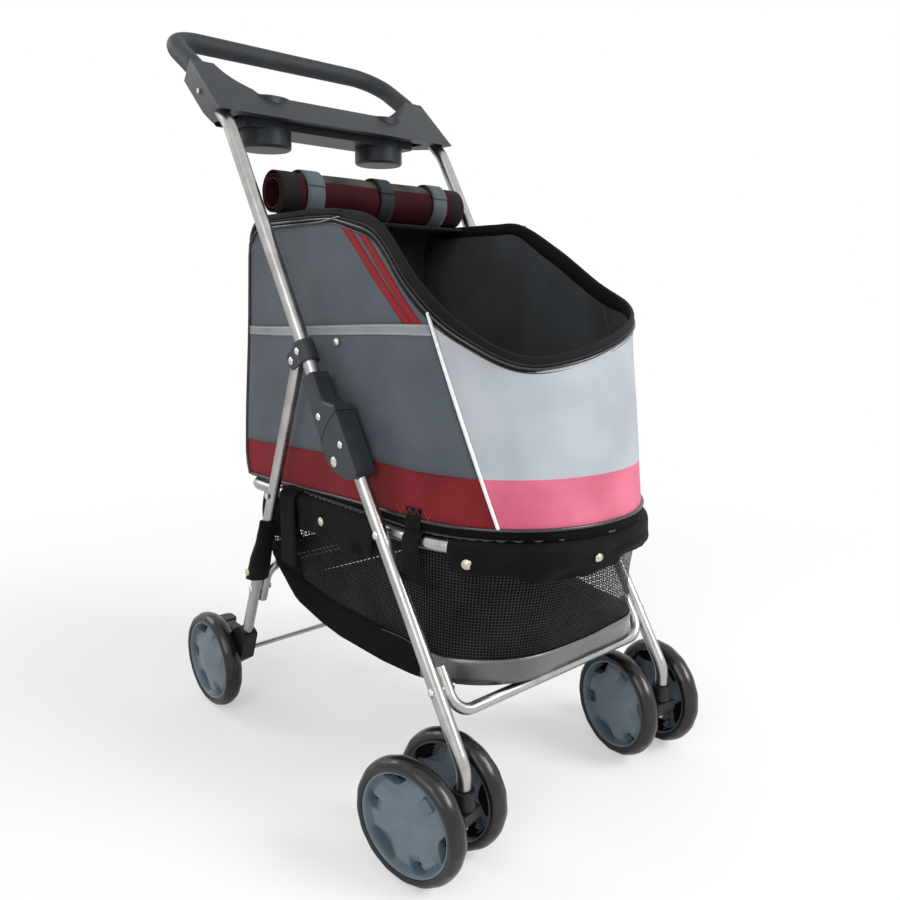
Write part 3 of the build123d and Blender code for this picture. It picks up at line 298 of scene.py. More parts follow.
def moulded(name, dark, light, grain, shine):
    """Grained moulding: fine grain in relief and slight shade changes."""
    plastic = Finish(name, dark, 0.5, Specular_IOR_Level=0.28)
    where = plastic.place()
    pits = plastic.noise(where, grain, 2.0, 0.6)
    shade = plastic.noise(where, 26.0, 3.0)
    plastic.feed("Base Color", plastic.ramp(shade, (0.3, dark), (0.7, light)))
    plastic.feed("Roughness", shine + 0.16 * pits)
    plastic.relief(pits, 0.00012, 0.7)
    return plastic


slate_plastic = moulded("slate_moulding", (0.025, 0.030, 0.036), (0.037, 0.043, 0.050), 1900, 0.36)
slate_plastic.wear(
    "upper_fold_housing_left", "upper_fold_housing_right",
    "lower_fold_housing_left", "lower_fold_housing_right",
    "rear_leg_bracket_left", "rear_leg_bracket_right",
)
tray_plastic = moulded("tray_moulding", (0.009, 0.0125, 0.016), (0.015, 0.020, 0.025), 1900, 0.3)
tray_plastic.wear("cup_tray")
black_plastic = moulded("black_moulding", (0.007, 0.008, 0.009), (0.013, 0.014, 0.016), 1500, 0.34)
black_plastic.wear(
    "rear_foot_left", "rear_foot_right", "brake_pedal_left", "brake_pedal_right",
    "caster_housing_left", "caster_housing_right", "caster_socket_left", "caster_socket_right",
)

# ------------------------------------------------------------------ grip
# One long sleeve of closed-cell foam pulled over the top of the handle. It is
# matt, with fine pores and shallow dents from hands.

foam = Finish("grip_foam", (0.03, 0.035, 0.04), 0.62, Specular_IOR_Level=0.25)
foam_place = foam.place()
pores = foam.node(
    "ShaderNodeTexVoronoi", {"feature": "F1"}, {"Vector": foam_place, "Scale": 900.0}
)
dents = foam.noise(foam_place, 60.0, 3.0)
foam.feed(
    "Base Color", foam.ramp(dents, (0.3, (0.021, 0.025, 0.029)), (0.7, (0.033, 0.038, 0.043)))
)
foam.feed("Roughness", 0.5 + 0.2 * dents)
foam.relief(pores * 0.35 + dents, 0.0002)
foam.wear("grip")

# ------------------------------------------------------------------ wheels
# Moulded slate-blue rims with solid brown-black tyres. A tyre is spun from its
# section, and shallow scallops are pressed into both shoulders.

rim_plastic = moulded("rim_moulding", (0.115, 0.152, 0.182), (0.14, 0.182, 0.216), 1200, 0.16)
rim_plastic.wear(
    "rear_rim_left", "rear_rim_right", "front_outer_rim_left", "front_outer_rim_right",
    "front_inner_rim_left", "front_inner_rim_right",
)

# Near-black floors in the rims' windows are painted shade, standing in for the shade inside the
# wheel behind each window.
painted_shade_window = Finish("rim_window_floor", (0.002, 0.002, 0.003), 0.8, Specular_IOR_Level=0.05)
window_dust = painted_shade_window.noise(painted_shade_window.place(), 300.0)
painted_shade_window.feed("Roughness", 0.7 + 0.2 * window_dust)
painted_shade_window.relief(window_dust, 0.0001)

rubber = Finish("tyre_rubber", (0.018, 0.015, 0.012), 0.36, Specular_IOR_Level=0.45)
rubber_place = rubber.place()
rubber_dust = rubber.noise(rubber_place, 45.0, 4.0)
rubber_grain = rubber.noise(rubber_place, 1400.0)
rubber.feed(
    "Base Color",
    rubber.ramp(rubber_dust, (0.3, (0.006, 0.005, 0.004)), (0.75, (0.015, 0.0125, 0.010))),
)
rubber.feed("Roughness", 0.16 + 0.2 * rubber_dust)
rubber.relief(rubber_grain, 0.00008, 0.6)


def object_from(shape, name, material):
    """Turn a finished bmesh into a shaded object at the origin."""
    mesh = bpy.data.meshes.new(name)
    shape.to_mesh(mesh)
    shape.free()
    mesh.materials.append(material)
    mesh.shade_smooth()
    piece = bpy.data.objects.new(name, mesh)
    bpy.context.scene.collection.objects.link(piece)
    return piece


tyre_r, rim_seat_r, tyre_half = 0.075, 0.062, 0.0135
scallops = 17
tyre_section = [
    (rim_seat_r, -tyre_half + 0.0012), (0.0655, -tyre_half), (0.0685, -tyre_half + 0.0004),
    (0.0722, -tyre_half + 0.0034), (0.0742, -tyre_half + 0.0075), (tyre_r, -0.0025),
    (tyre_r, 0.0025), (0.0742, tyre_half - 0.0075), (0.0722, tyre_half - 0.0034),
    (0.0685, tyre_half - 0.0004), (0.0655, tyre_half), (rim_seat_r, tyre_half - 0.0012),
]


def spun_tyre(name, centre, axle_direction, body):
    """Spin the tyre's section about its axle and press the scallops in."""
    shape = bmesh.new()
    ring = [shape.verts.new((r, 0, x)) for r, x in tyre_section]
    edges = [shape.edges.new(pair) for pair in zip(ring, ring[1:])]
    bmesh.ops.spin(
        shape, geom=ring + edges, cent=(0, 0, 0), axis=(0, 0, 1), angle=2 * pi,
        steps=scallops * 9, use_merge=True,
    )
    bmesh.ops.remove_doubles(shape, verts=shape.verts, dist=1e-6)
    bmesh.ops.recalc_face_normals(shape, faces=shape.faces)
    for vertex in shape.verts:
        radius = vertex.co.xy.length
        if 0.0675 < radius < 0.0748:
            wave = 0.5 + 0.5 * cos(scallops * atan2(vertex.co.y, vertex.co.x))
            vertex.co.xy *= 1 - 0.010 * wave
    turn = Vector((0, 0, 1)).rotation_difference(Vector(axle_direction)).to_matrix()
    bmesh.ops.transform(shape, matrix=turn.to_4x4(), verts=shape.verts)
    bmesh.ops.translate(shape, vec=centre, verts=shape.verts)
    tyre = object_from(shape, name, rubber.material)
    smooth = tyre.modifiers.new("smooth", "SUBSURF")
    smooth.levels = 1
    smooth.render_levels = 1
    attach(tyre, body)
    return tyre


def step(value, low, high):
    """0 below low, 1 above high and a soft S between them."""
    share = min(1.0, max(0.0, (value - low) / (high - low)))
    return share * share * (3 - 2 * share)


def rim_face_height(radius, angle):
    """How far a rim's face stands out, and whether the place is a window floor that gets near-black
    painted shade.
    """
    third = (angle / radians(120)) % 1
    from_lens = abs(third - 0.25) * radians(120)
    from_square = abs(third - 0.75) * radians(120)
    lens_edge = 0.0444 + 0.0130 * (from_lens / radians(21)) ** 2
    lens = step(radius - lens_edge, -0.0008, 0.0008) * step(0.0574 - radius, 0.0, 0.0012)
    scoop = step(radius - lens_edge, -0.0170, 0.001)
    scoop *= step(radians(34) - from_lens, 0.0, radians(16))
    beside = step(0.0082 - radius * from_square, -0.0007, 0.0007)
    square = beside * step(radius, 0.0452, 0.0464) * step(0.0560 - radius, -0.0006, 0.0006)
    facet = beside * min(1.0, max(0.0, (radius - 0.0350) / 0.0105)) * (radius < 0.0565)
    height = 0.0108 - 0.0026 * (radius / 0.045) ** 2 - 0.0042 * scoop
    height -= 0.0025 * step(radius, 0.0500, 0.0565) * (1 - scoop)
    height -= 0.0006 * (step(radius, 0.0098, 0.0104) - step(radius, 0.0112, 0.0118))
    height += 0.0030 * step(radius, 0.0568, 0.0580)
    height -= 0.0110 * lens + 0.0045 * facet + 0.0080 * square
    return max(height, -0.0085), lens > 0.5 or square > 0.5


def moulded_rim(name, centre, outward, body, cad_rim):
    """Spin a rim's section, press its face and windows into shape and give it a wall."""
    radii = [0.004 + 0.00075 * index for index in range(72)]
    section = [(radius, 0.0) for radius in radii]
    section += [
        (0.0584, 0.0092), (0.0596, 0.0114), (0.0612, 0.0119), (0.0622, 0.0108), (0.0622, -0.0108),
        (0.0612, -0.0119), (0.0598, -0.0112),
    ]
    shape = bmesh.new()
    ring = [shape.verts.new((radius, 0, height)) for radius, height in section]
    edges = [shape.edges.new(pair) for pair in zip(ring, ring[1:])]
    bmesh.ops.spin(
        shape, geom=ring + edges, cent=(0, 0, 0), axis=(0, 0, 1), angle=2 * pi, steps=300,
        use_merge=True,
    )
    bmesh.ops.remove_doubles(shape, verts=shape.verts, dist=1e-6)
    hub = [edge for edge in shape.edges if edge.is_boundary and edge.verts[0].co.xy.length < 0.005]
    bmesh.ops.contextual_create(shape, geom=hub)
    painted_shade_verts = set()
    for vertex in shape.verts:
        radius = vertex.co.xy.length
        if radius < 0.0580 and abs(vertex.co.z) < 0.001:
            angle = atan2(vertex.co.y, vertex.co.x) % (2 * pi)
            vertex.co.z, dark = rim_face_height(radius, angle)
            if dark:
                painted_shade_verts.add(vertex)
    # Window faces take the near-black painted shade material.
    for face in shape.faces:
        if painted_shade_verts.issuperset(face.verts):
            face.material_index = 1
    bmesh.ops.recalc_face_normals(shape, faces=shape.faces)
    turn = Vector((0, 0, 1)).rotation_difference(Vector(outward)).to_matrix().to_4x4()
    bmesh.ops.transform(shape, matrix=Matrix.Translation(centre) @ turn, verts=shape.verts)
    rim = object_from(shape, name, rim_plastic.material)
    rim.data.materials.append(painted_shade_window.material)
    wall = rim.modifiers.new("wall", "SOLIDIFY")
    wall.thickness = 0.0018
    wall.offset = -1
    rim.data.set_sharp_from_angle(angle=radians(62))
    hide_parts(cad_rim)
    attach(rim, body)


for side in ("left", "right"):
    for wheel_name, body in (
        ("rear", f"rear_wheel_{side}"),
        ("front_outer", f"front_outer_wheel_{side}"),
        ("front_inner", f"front_inner_wheel_{side}"),
    ):
        cad_tyre = f"{wheel_name}_tyre_{side}"
        low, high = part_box(cad_tyre)
        spin_joint = [j for j in frame["joints"] if j["child"] == body][0]
        tyre = spun_tyre(
            f"{cad_tyre}_rubber", (low + high) / 2, spin_joint["axis"], body
        )
        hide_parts(cad_tyre)
        face_side = (1 if side == "left" else -1) * (-1 if wheel_name == "front_inner" else 1)
        moulded_rim(
            f"{wheel_name}_rim_face_{side}", (low + high) / 2,
            Vector(spin_joint["axis"]) * (face_side if spin_joint["axis"][0] > 0 else -face_side),
            body, f"{wheel_name}_rim_{side}",
        )

# ------------------------------------------------------------------ cup tray
# One moulding closed round both handle tubes, with a hollow for a cup at each
# end. Its ends are cut back behind the tubes.

tray_shape = bmesh.new()
tray_shape.from_mesh(nodes["cup_tray"].data)
bmesh.ops.remove_doubles(tray_shape, verts=tray_shape.verts, dist=1e-6)
for side in (-1, 1):
    corner = Vector((side * 0.205, 0.2045, 0.884))
    along_tube = Vector((0, 0.0734, 0.068))
    along_rear = Vector((side * -0.055, 0.0745, 0))
    cut_way = along_tube.cross(along_rear) * -side
    if cut_way.y < 0:
        cut_way = -cut_way
    cut = bmesh.ops.bisect_plane(
        tray_shape, geom=tray_shape.verts[:] + tray_shape.edges[:] + tray_shape.faces[:],
        dist=1e-6, plane_co=corner, plane_no=cut_way, clear_outer=True,
    )
    cut_edges = [item for item in cut["geom_cut"] if isinstance(item, bmesh.types.BMEdge)]
    bmesh.ops.triangle_fill(tray_shape, edges=cut_edges, use_beauty=True)
bmesh.ops.recalc_face_normals(tray_shape, faces=tray_shape.faces)
tray = object_from(tray_shape, "rounded_cup_tray", tray_plastic.material)
if "custom_normal" in tray.data.attributes:
    tray.data.attributes.remove(tray.data.attributes["custom_normal"])
tray.data.set_sharp_from_angle(angle=radians(35))
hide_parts("cup_tray")
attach(tray, "handle")

# ------------------------------------------------------------------ carrier panels
# A bag of coated polyester cloth. The light grey front panel wraps both front
# corners, slate panels close the sides, and one strip runs up the back and
# over the top. A red band is sewn along their foot and a black lining inside.


def woven(name, dark, light, thread=0.0013, fold=1.0, matt=0.62, gloss=0.3):
    """Plain-woven cloth whose threads follow the piece's own weave coordinates."""
    cloth = Finish(name, light, matt, Specular_IOR_Level=gloss, Sheen_Weight=0.2 * gloss)
    threads = cloth.place(scale=(2 * pi / thread, 2 * pi / thread, 1), source="UV")
    weave = sine(cloth.axis(threads, "X")) * sine(cloth.axis(threads, "Y"))
    where = cloth.place()
    soft = cloth.noise(where, 14.0, 3.0)
    puckers = abs(cloth.noise(cloth.place(scale=(1, 1, 0.55)), 13.0, 2.0) - 0.5)
    cloth.feed("Base Color", cloth.ramp(soft + 0.08 * weave, (0.32, dark), (0.68, light)))
    cloth.feed("Roughness", matt - 0.08 + 0.18 * soft)
    cloth.relief(0.09 * weave - 2.4 * fold * puckers, 0.001)
    return cloth


def sine(value):
    return value.math("SINE", value)


slate_cloth = woven("slate_cloth", (0.058, 0.072, 0.086), (0.086, 0.102, 0.119))
grey_cloth = woven("grey_cloth", (0.355, 0.39, 0.425), (0.435, 0.47, 0.505))
# One red band cloth in two colours: lighter on the front panel as painted light, darker on the side
# and back panels as painted shade.
red_cloth_painted_shade = woven("red_cloth_painted_shade", (0.15, 0.012, 0.016), (0.225, 0.018, 0.024), gloss=0.12)
red_cloth_painted_light = woven("red_cloth_painted_light", (0.52, 0.097, 0.165), (0.69, 0.160, 0.250))
black_cloth = woven(
    "black_cloth", (0.003, 0.003, 0.003), (0.007, 0.007, 0.007), fold=0.7, matt=0.75, gloss=0.05
)
lining_cloth = woven(
    "lining_cloth", (0.032, 0.036, 0.040), (0.052, 0.058, 0.064), fold=1.8, gloss=0.25
)


def cloth_grid(name, columns, rows, place, *materials, thickness=0.0):
    """A sheet of cloth: place gives a point and its weave place from shares of the cut."""
    shape = bmesh.new()
    bmesh.ops.create_grid(shape, x_segments=columns, y_segments=rows, size=1)
    weave = shape.loops.layers.uv.new("weave")
    for vertex in shape.verts:
        point, threads = place((vertex.co.x + 1) / 2, (vertex.co.y + 1) / 2)
        vertex.co = point
        for loop in vertex.link_loops:
            loop[weave].uv = threads
    cloth = object_from(shape, name, materials[0].material)
    for extra in materials[1:]:
        cloth.data.materials.append(extra.material)
    if thickness:
        wall = cloth.modifiers.new("wall", "SOLIDIFY")
        wall.thickness = thickness
        wall.offset = -1
        if len(materials) > 1:
            wall.material_offset = 1
            wall.material_offset_rim = 1
    return cloth


foot_z, top_z = 0.3802, 0.744
flat_front = 0.005


def rise_at(z):
    return (z - foot_z) / (top_z - foot_z)


def front_at(z):
    return -0.3565 + 0.0415 * rise_at(z)


def rear_at(z):
    fullness = step(z, foot_z, 0.42) * (1 - step(z, 0.45, 0.62))
    return 0.1845 - 0.016 * rise_at(z) + 0.006 * fullness - 0.004 * (1 - step(z, foot_z, 0.4))


def half_at(z):
    return 0.170 - 0.010 * rise_at(z)


def corner_end(z):
    """How far round the bag its round front ends."""
    return flat_front + (half_at(z) - flat_front) * pi / 2


def wall_point(run, z, proud=0.0):
    """The bag's skin: run goes round it from the front's middle, positive to the left."""
    side = 1 if run >= 0 else -1
    run = abs(run)
    radius = half_at(z) - flat_front
    reach = radius + proud
    if run <= flat_front:
        return Vector((side * run, front_at(z) - proud, z))
    if run <= corner_end(z):
        angle = (run - flat_front) / radius
        return Vector((
            side * (flat_front + reach * sin(angle)), front_at(z) + radius - reach * cos(angle), z
        ))
    return Vector((
        side * (half_at(z) + proud), front_at(z) + radius + run - corner_end(z), z
    ))


def side_run(y, z):
    """How far round the bag a point of its side lies."""
    return corner_end(z) + y - front_at(z) - half_at(z) + flat_front


def seam_run(z):
    return 0.1403 + 0.1032 * rise_at(z)


rim_knots = (
    (-0.42, 0.749), (-0.36, 0.7455), (-0.28, 0.726), (-0.22, 0.661), (-0.17, 0.615),
    (-0.11, 0.5835), (-0.05, 0.5868), (0.05, 0.6125), (0.15, 0.639), (0.22, 0.662),
    (0.29, 0.708), (0.36, 0.7455), (0.42, 0.749),
)


def rim_z(run):
    """Height of the opening's edge, which sags at the right front corner."""
    run = min(0.4199, max(-0.42, run))
    index = [run < knot[0] for knot in rim_knots].index(True) - 1
    (x0, z0), (x1, z1) = rim_knots[index], rim_knots[index + 1]
    before = rim_knots[max(0, index - 1)]
    after = rim_knots[min(len(rim_knots) - 1, index + 2)]
    slope0 = (z1 - before[1]) / (x1 - before[0])
    slope1 = (after[1] - z0) / (after[0] - x0)
    t, span = (run - x0) / (x1 - x0), x1 - x0
    return (
        (2 * t ** 3 - 3 * t ** 2 + 1) * z0 + (t ** 3 - 2 * t ** 2 + t) * span * slope0
        + (3 * t ** 2 - 2 * t ** 3) * z1 + (t ** 3 - t ** 2) * span * slope1
    )


def column_top(column):
    z = 0.6
    for _ in range(14):
        z = 0.5 * z + 0.5 * rim_z(column(z))
    return z


def band_foot_z(y):
    """Foot of the red band, where the black piping runs."""
    return 0.3945 - 0.011 * step(y, -0.2, 0.2)


def band_z(y):
    """Top of the red band."""
    return 0.4495 - 0.0155 * step(y, -0.16, 0.2)


def slack(run, z, deepest):
    """How far the cloth sags inwards, nothing at its seams."""
    seam = abs(abs(run) - seam_run(z))
    point = wall_point(run, z)
    held = step(z, foot_z, foot_z + 0.05) * step(rim_z(run) - z, 0.0, 0.05)
    held *= step(seam, 0.0, 0.05) * step(rear_at(z) - point.y, 0.0, 0.05)
    wave = noise.noise(Vector((point.x * 6, point.y * 11, z * 7)))
    return -deepest * held * (0.55 + 0.9 * wave)


foot_share, band_share = 0.04, 0.16
panel_slack, panel_thickness = 0.0032, 0.0025


def panel_point(column, share, top):
    """A point of one upright column of the panel, with rows along the red band's edges."""
    y = wall_point(column(0.42), 0.42).y
    foot, band = band_foot_z(y), band_z(y)
    if share < foot_share:
        z = foot_z + (foot - foot_z) * share / foot_share
    elif share < band_share:
        z = foot + (band - foot) * (share - foot_share) / (band_share - foot_share)
    else:
        z = band + (top - band) * (share - band_share) / (1 - band_share)
    run = column(z)
    return wall_point(run, z, slack(run, z, panel_slack)), (run, z)


def front_panel_place(across, up):
    def column(z):
        return (2 * across - 1) * seam_run(z)

    return panel_point(column, up, column_top(column))


back_curve, back_curve_r, back_curve_z = 0.85, 0.034, 0.710
straight_share = 0.9103


def side_panel_place(across, up, side):
    from_seam = across if side > 0 else 1 - across
    curve = 0.0
    if from_seam < back_curve:
        share = from_seam / back_curve * straight_share
    else:
        curve = (from_seam - back_curve) / (1 - back_curve) * pi / 2
        share = straight_share + (1 - straight_share) * sin(curve)

    def column(z):
        end = side_run(rear_at(z), z)
        return side * (seam_run(z) + share * (end - seam_run(z)))

    top = min(column_top(column), top_z) if curve == 0 else back_curve_z + back_curve_r * cos(curve)
    return panel_point(column, up, top)


def paint_band(cloth, material_index, black_index):
    """Give the faces at the band the red cloth and those below it the black one."""
    for face in cloth.data.polygons:
        if face.center.z < band_foot_z(face.center.y) and abs(face.normal.z) < 0.7:
            face.material_index = black_index
        elif face.center.z < band_z(face.center.y) and abs(face.normal.z) < 0.7:
            face.material_index = material_index


front_panel = cloth_grid(
    "front_panel", 72, 25, front_panel_place, grey_cloth, lining_cloth, red_cloth_painted_light,
    lining_cloth, black_cloth, lining_cloth, thickness=panel_thickness,
)
paint_band(front_panel, 2, 4)
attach(front_panel, "carrier")

for side, side_name in ((-1, "right"), (1, "left")):
    panel = cloth_grid(
        f"side_panel_{side_name}", 60, 25,
        lambda across, up: side_panel_place(across, up, side),
        slate_cloth, lining_cloth, red_cloth_painted_shade, lining_cloth, black_cloth, lining_cloth,
        thickness=panel_thickness,
    )
    paint_band(panel, 2, 4)
    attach(panel, "carrier")

lid_front_y, lid_rear_y = 0.0725, 0.1345
lid_run = lid_rear_y - lid_front_y
curve_run = back_curve_r * pi / 2
back_run = 0.33


def back_strip_place(across, up):
    """Over the top, round the curve and down the back, puffed a little in its middle."""
    share = 2 * across - 1
    along = up * (lid_run + curve_run + back_run)
    puff = 0.004 * (1 - share ** 4)
    if along < lid_run:
        x = share * half_at(top_z)
        return Vector((x, lid_front_y + along, top_z + puff * step(along, 0, 0.03))), (x, along)
    if along < lid_run + curve_run:
        angle = (along - lid_run) / back_curve_r
        reach = back_curve_r + puff
        z = back_curve_z + reach * cos(angle)
        x = share * half_at(back_curve_z + back_curve_r * cos(angle))
        return Vector((x, lid_rear_y + reach * sin(angle), z)), (x, along)
    z = back_curve_z - (along - lid_run - curve_run) / back_run * (back_curve_z - foot_z)
    x = share * half_at(z)
    crease = 0.0025 * noise.noise(Vector((x * 12, 3.0, z * 9)))
    held = step(z, foot_z, foot_z + 0.06) * step(back_curve_z - z, -0.02, 0.05)
    return Vector((x, rear_at(z) + (puff + crease) * max(held, 0.2), z)), (x, along)


back_strip = cloth_grid(
    "back_strip", 36, 48, back_strip_place, slate_cloth, lining_cloth, red_cloth_painted_shade,
    lining_cloth, black_cloth, lining_cloth, thickness=panel_thickness,
)
paint_band(back_strip, 2, 4)
for face in back_strip.data.polygons:
    if face.center.z > 0.735:
        face.material_index = 4
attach(back_strip, "carrier")


def floor_place(across, up):
    """The bag's flat floor, cut to the same outline as its foot."""
    y = front_at(foot_z) + up * (rear_at(foot_z) - front_at(foot_z))
    radius = half_at(foot_z) - flat_front
    into_corner = max(0.0, front_at(foot_z) + radius - y)
    half = flat_front + sqrt(max(0.0, radius ** 2 - into_corner ** 2))
    return Vector(((1 - 2 * across) * half, y, foot_z + 0.0005)), (across * 0.34, y)


floor_cloth = cloth_grid(
    "carrier_floor", 24, 40, floor_place, black_cloth, lining_cloth, thickness=panel_thickness
)
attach(floor_cloth, "carrier")
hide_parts("carrier_shell")

# ------------------------------------------------------------------ piping
# Cord in a folded strip, sewn into the seams: white between front and side
# panels, black vinyl round the back edges and along the foot.


def piping(name, points, radius, finish, closed=False):
    """A sewn-in cord of one thickness along the points."""
    line = bpy.data.curves.new(name, "CURVE")
    line.dimensions = "3D"
    spline = line.splines.new("POLY")
    spline.points.add(len(points) - 1)
    for spline_point, point in zip(spline.points, points):
        spline_point.co = (*point, 1)
    spline.use_cyclic_u = closed
    line.bevel_depth = radius
    line.bevel_resolution = 3
    line.use_fill_caps = True
    line.materials.append(finish.material)
    cord = bpy.data.objects.new(name, line)
    bpy.context.scene.collection.objects.link(cord)
    spline.use_smooth = True
    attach(cord, "carrier")
    return cord


white_vinyl = Finish("white_piping", (0.78, 0.79, 0.8), 0.35, Specular_IOR_Level=0.5)
vinyl_marks = white_vinyl.noise(white_vinyl.place(), 160.0, 3.0)
white_vinyl.feed("Roughness", 0.28 + 0.2 * vinyl_marks)
white_vinyl.feed(
    "Base Color",
    white_vinyl.ramp(vinyl_marks, (0.2, (0.66, 0.67, 0.68)), (0.6, (0.84, 0.85, 0.86))),
)
white_vinyl.relief(vinyl_marks, 0.00015)
black_vinyl = Finish("black_vinyl", (0.012, 0.012, 0.013), 0.22, Specular_IOR_Level=0.6)
black_marks = black_vinyl.noise(black_vinyl.place(), 220.0, 3.0)
black_vinyl.feed("Roughness", 0.14 + 0.22 * black_marks)
black_vinyl.feed(
    "Base Color",
    black_vinyl.ramp(black_marks, (0.3, (0.009, 0.009, 0.01)), (0.7, (0.02, 0.02, 0.021))),
)
black_vinyl.relief(black_marks, 0.0002)

end_run = side_run(rear_at(foot_z), foot_z)
foot_line = []
for index in range(121):
    run = end_run * (index / 60 - 1)
    foot_line.append(wall_point(run, band_foot_z(wall_point(run, foot_z).y), 0.0012))
piping("foot_piping", foot_line, 0.0021, black_vinyl, closed=True)
for side, side_name in ((-1, "right"), (1, "left")):
    seam_top = column_top(lambda z: side * seam_run(z)) - 0.034
    seam_heights = [0.394 + (seam_top - 0.394) * index / 30 for index in range(31)]
    piping(
        f"white_piping_{side_name}",
        [wall_point(side * seam_run(z), z, 0.0009) for z in seam_heights],
        0.0021, white_vinyl,
    )
    edge = [
        Vector((side * (half_at(z) + 0.0006), rear_at(z), z))
        for z in (foot_z + 0.002 + index * 0.0157 for index in range(22))
    ]
    edge += [
        Vector((
            side * (half_at(top_z) + 0.0006), lid_rear_y + back_curve_r * cos(angle),
            back_curve_z + back_curve_r * sin(angle),
        ))
        for angle in (radians(6 * index) for index in range(16))
    ]
    piping(f"back_piping_{side_name}", edge, 0.0024, black_vinyl)

# ------------------------------------------------------------------ opening's edge
# Black tape folded over the edge of the opening, with a cord sewn along its
# foot and a zip's teeth above that for closing the cover.

binding_cloth = woven(
    "binding_tape", (0.004, 0.004, 0.004), (0.009, 0.0085, 0.008), fold=0.4, gloss=0.1
)
opening_run = 0.545


def edge_point(share):
    """The opening's edge from the right back corner round the front to the left."""
    run = (2 * share - 1) * opening_run
    return wall_point(run, rim_z(run))


def edge_frame(share):
    """The edge's point, the way out of the bag and the way down its wall."""
    here = edge_point(share)
    along = (edge_point(min(1, share + 0.003)) - edge_point(max(0, share - 0.003))).normalized()
    out = along.cross(Vector((0, 0, 1)))
    out = Vector((out.x, out.y, 0)).normalized()
    return here, out, along.cross(out).normalized()


tape_fold = (
    (0.0004, 0.0168), (0.0012, 0.0160), (0.0013, 0.0085), (0.0012, 0.002), (0.0003, 0.0001),
    (-0.0012, -0.0006), (-0.0028, 0.0001), (-0.0037, 0.002), (-0.0037, 0.008), (-0.0033, 0.0152),
)


def tape_width(share):
    """The tape is wider where the edge slopes, down both sides of the opening."""
    run = abs(2 * share - 1) * opening_run
    return 1 + 0.35 * step(run, 0.14, 0.21) * (1 - step(run, 0.31, 0.37))


def binding_place(across, up):
    here, out, down = edge_frame(across)
    proud, drop = tape_fold[round(up * (len(tape_fold) - 1))]
    return here + out * proud + down * drop * tape_width(across), (across * 1.2, drop)


binding = cloth_grid(
    "opening_binding_tape", 260, len(tape_fold) - 1, binding_place, binding_cloth,
    thickness=0.0006,
)
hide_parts("opening_binding")
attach(binding, "carrier")


def lid_edge_place(across, up):
    """The same tape, across the front edge of the top."""
    proud, drop = tape_fold[round(up * (len(tape_fold) - 1))]
    x = (1 - 2 * across) * (half_at(top_z) - 0.0035)
    rise = 0.004 * (1 - (2 * across - 1) ** 4)
    return Vector((x, lid_front_y - 0.0007 + drop, top_z + proud + 0.0003 + 0.3 * rise)), (x, drop)


lid_tape = cloth_grid(
    "lid_edge_tape", 40, len(tape_fold) - 1, lid_edge_place, binding_cloth, thickness=0.0006
)
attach(lid_tape, "carrier")


def edge_line(drop, proud, steps=220):
    """A line along the outside of the tape, drop below its fold."""
    line = []
    for index in range(steps + 1):
        here, out, down = edge_frame(index / steps)
        line.append(here + out * proud + down * drop * tape_width(index / steps))
    return line


piping("opening_cord", edge_line(0.0124, 0.0016), 0.0017, black_vinyl)
piping("opening_tape_foot", edge_line(0.0170, 0.0008), 0.0009, black_vinyl)


def repeated(name, line, spacing, size, finish, body="carrier"):
    """Small rounded blocks set evenly along a line, such as stitches or zip teeth."""
    shape = bmesh.new()
    travelled, wanted = 0.0, spacing / 2
    for start, end in zip(line, line[1:]):
        length = (end - start).length
        while wanted <= travelled + length:
            centre = start.lerp(end, (wanted - travelled) / length)
            turn = Vector((1, 0, 0)).rotation_difference(end - start).to_matrix().to_4x4()
            matrix = Matrix.Translation(centre) @ turn @ Matrix.Diagonal((*size, 1))
            bmesh.ops.create_icosphere(shape, subdivisions=1, radius=0.5, matrix=matrix)
            wanted += spacing
        travelled += length
    blocks = object_from(shape, name, finish.material)
    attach(blocks, body)
    return blocks


zip_plastic = Finish("zip_teeth", (0.03, 0.03, 0.031), 0.28)
zip_shade = zip_plastic.noise(zip_plastic.place(), 500.0)
zip_plastic.feed("Roughness", 0.2 + 0.25 * zip_shade)
zip_plastic.feed(
    "Base Color", zip_plastic.ramp(zip_shade, (0.3, (0.02, 0.02, 0.021)), (0.7, (0.06, 0.06, 0.06)))
)
zip_plastic.relief(zip_shade, 0.0001)
repeated("opening_zip", edge_line(0.0088, 0.0015), 0.0021, (0.0015, 0.0018, 0.0022), zip_plastic)

# ------------------------------------------------------------------ side folds of the top
# The black cloth of the top folds down over each side panel and is held there
# by a black vinyl cord, which rounds the panel's upper rear corner.

fold_front_y = -0.056


def side_fold_place(across, up, side, proud=0.0011):
    """From the front along the side and round the rear corner, up from the fold's foot."""
    straight = lid_rear_y - fold_front_y
    along = across * (straight + back_curve_r * pi / 2)
    depth = 0.0125 - 0.004 * step(-along, -0.05, 0.0)
    if along < straight:
        y = fold_front_y + along
        z = top_z + 0.0006 - depth * (1 - up)
    else:
        angle = (along - straight) / back_curve_r
        r = back_curve_r + 0.0006 - depth * (1 - up) * max(0.0, cos(angle)) ** 0.5
        y = lid_rear_y + r * sin(angle)
        z = back_curve_z + r * cos(angle)
    return Vector((side * (half_at(z) + proud), y, z)), (along, z)


for side, side_name in ((-1, "right"), (1, "left")):
    fold = cloth_grid(
        f"top_side_fold_{side_name}", 48, 5,
        lambda across, up: side_fold_place(across if side > 0 else 1 - across, up, side),
        black_cloth, thickness=0.0008,
    )
    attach(fold, "carrier")
    piping(
        f"top_side_cord_{side_name}",
        [side_fold_place(index / 48, 0.0, side, 0.0016)[0] for index in range(48)],
        0.0016, black_vinyl,
    )

# ------------------------------------------------------------------ side stripes
# Two red ribbons sewn to each side panel. They run down beside the opening
# from its binding to the pocket.

ribbon_red = woven("red_ribbon", (0.20, 0.012, 0.018), (0.30, 0.02, 0.028), fold=0.3, gloss=0.12)
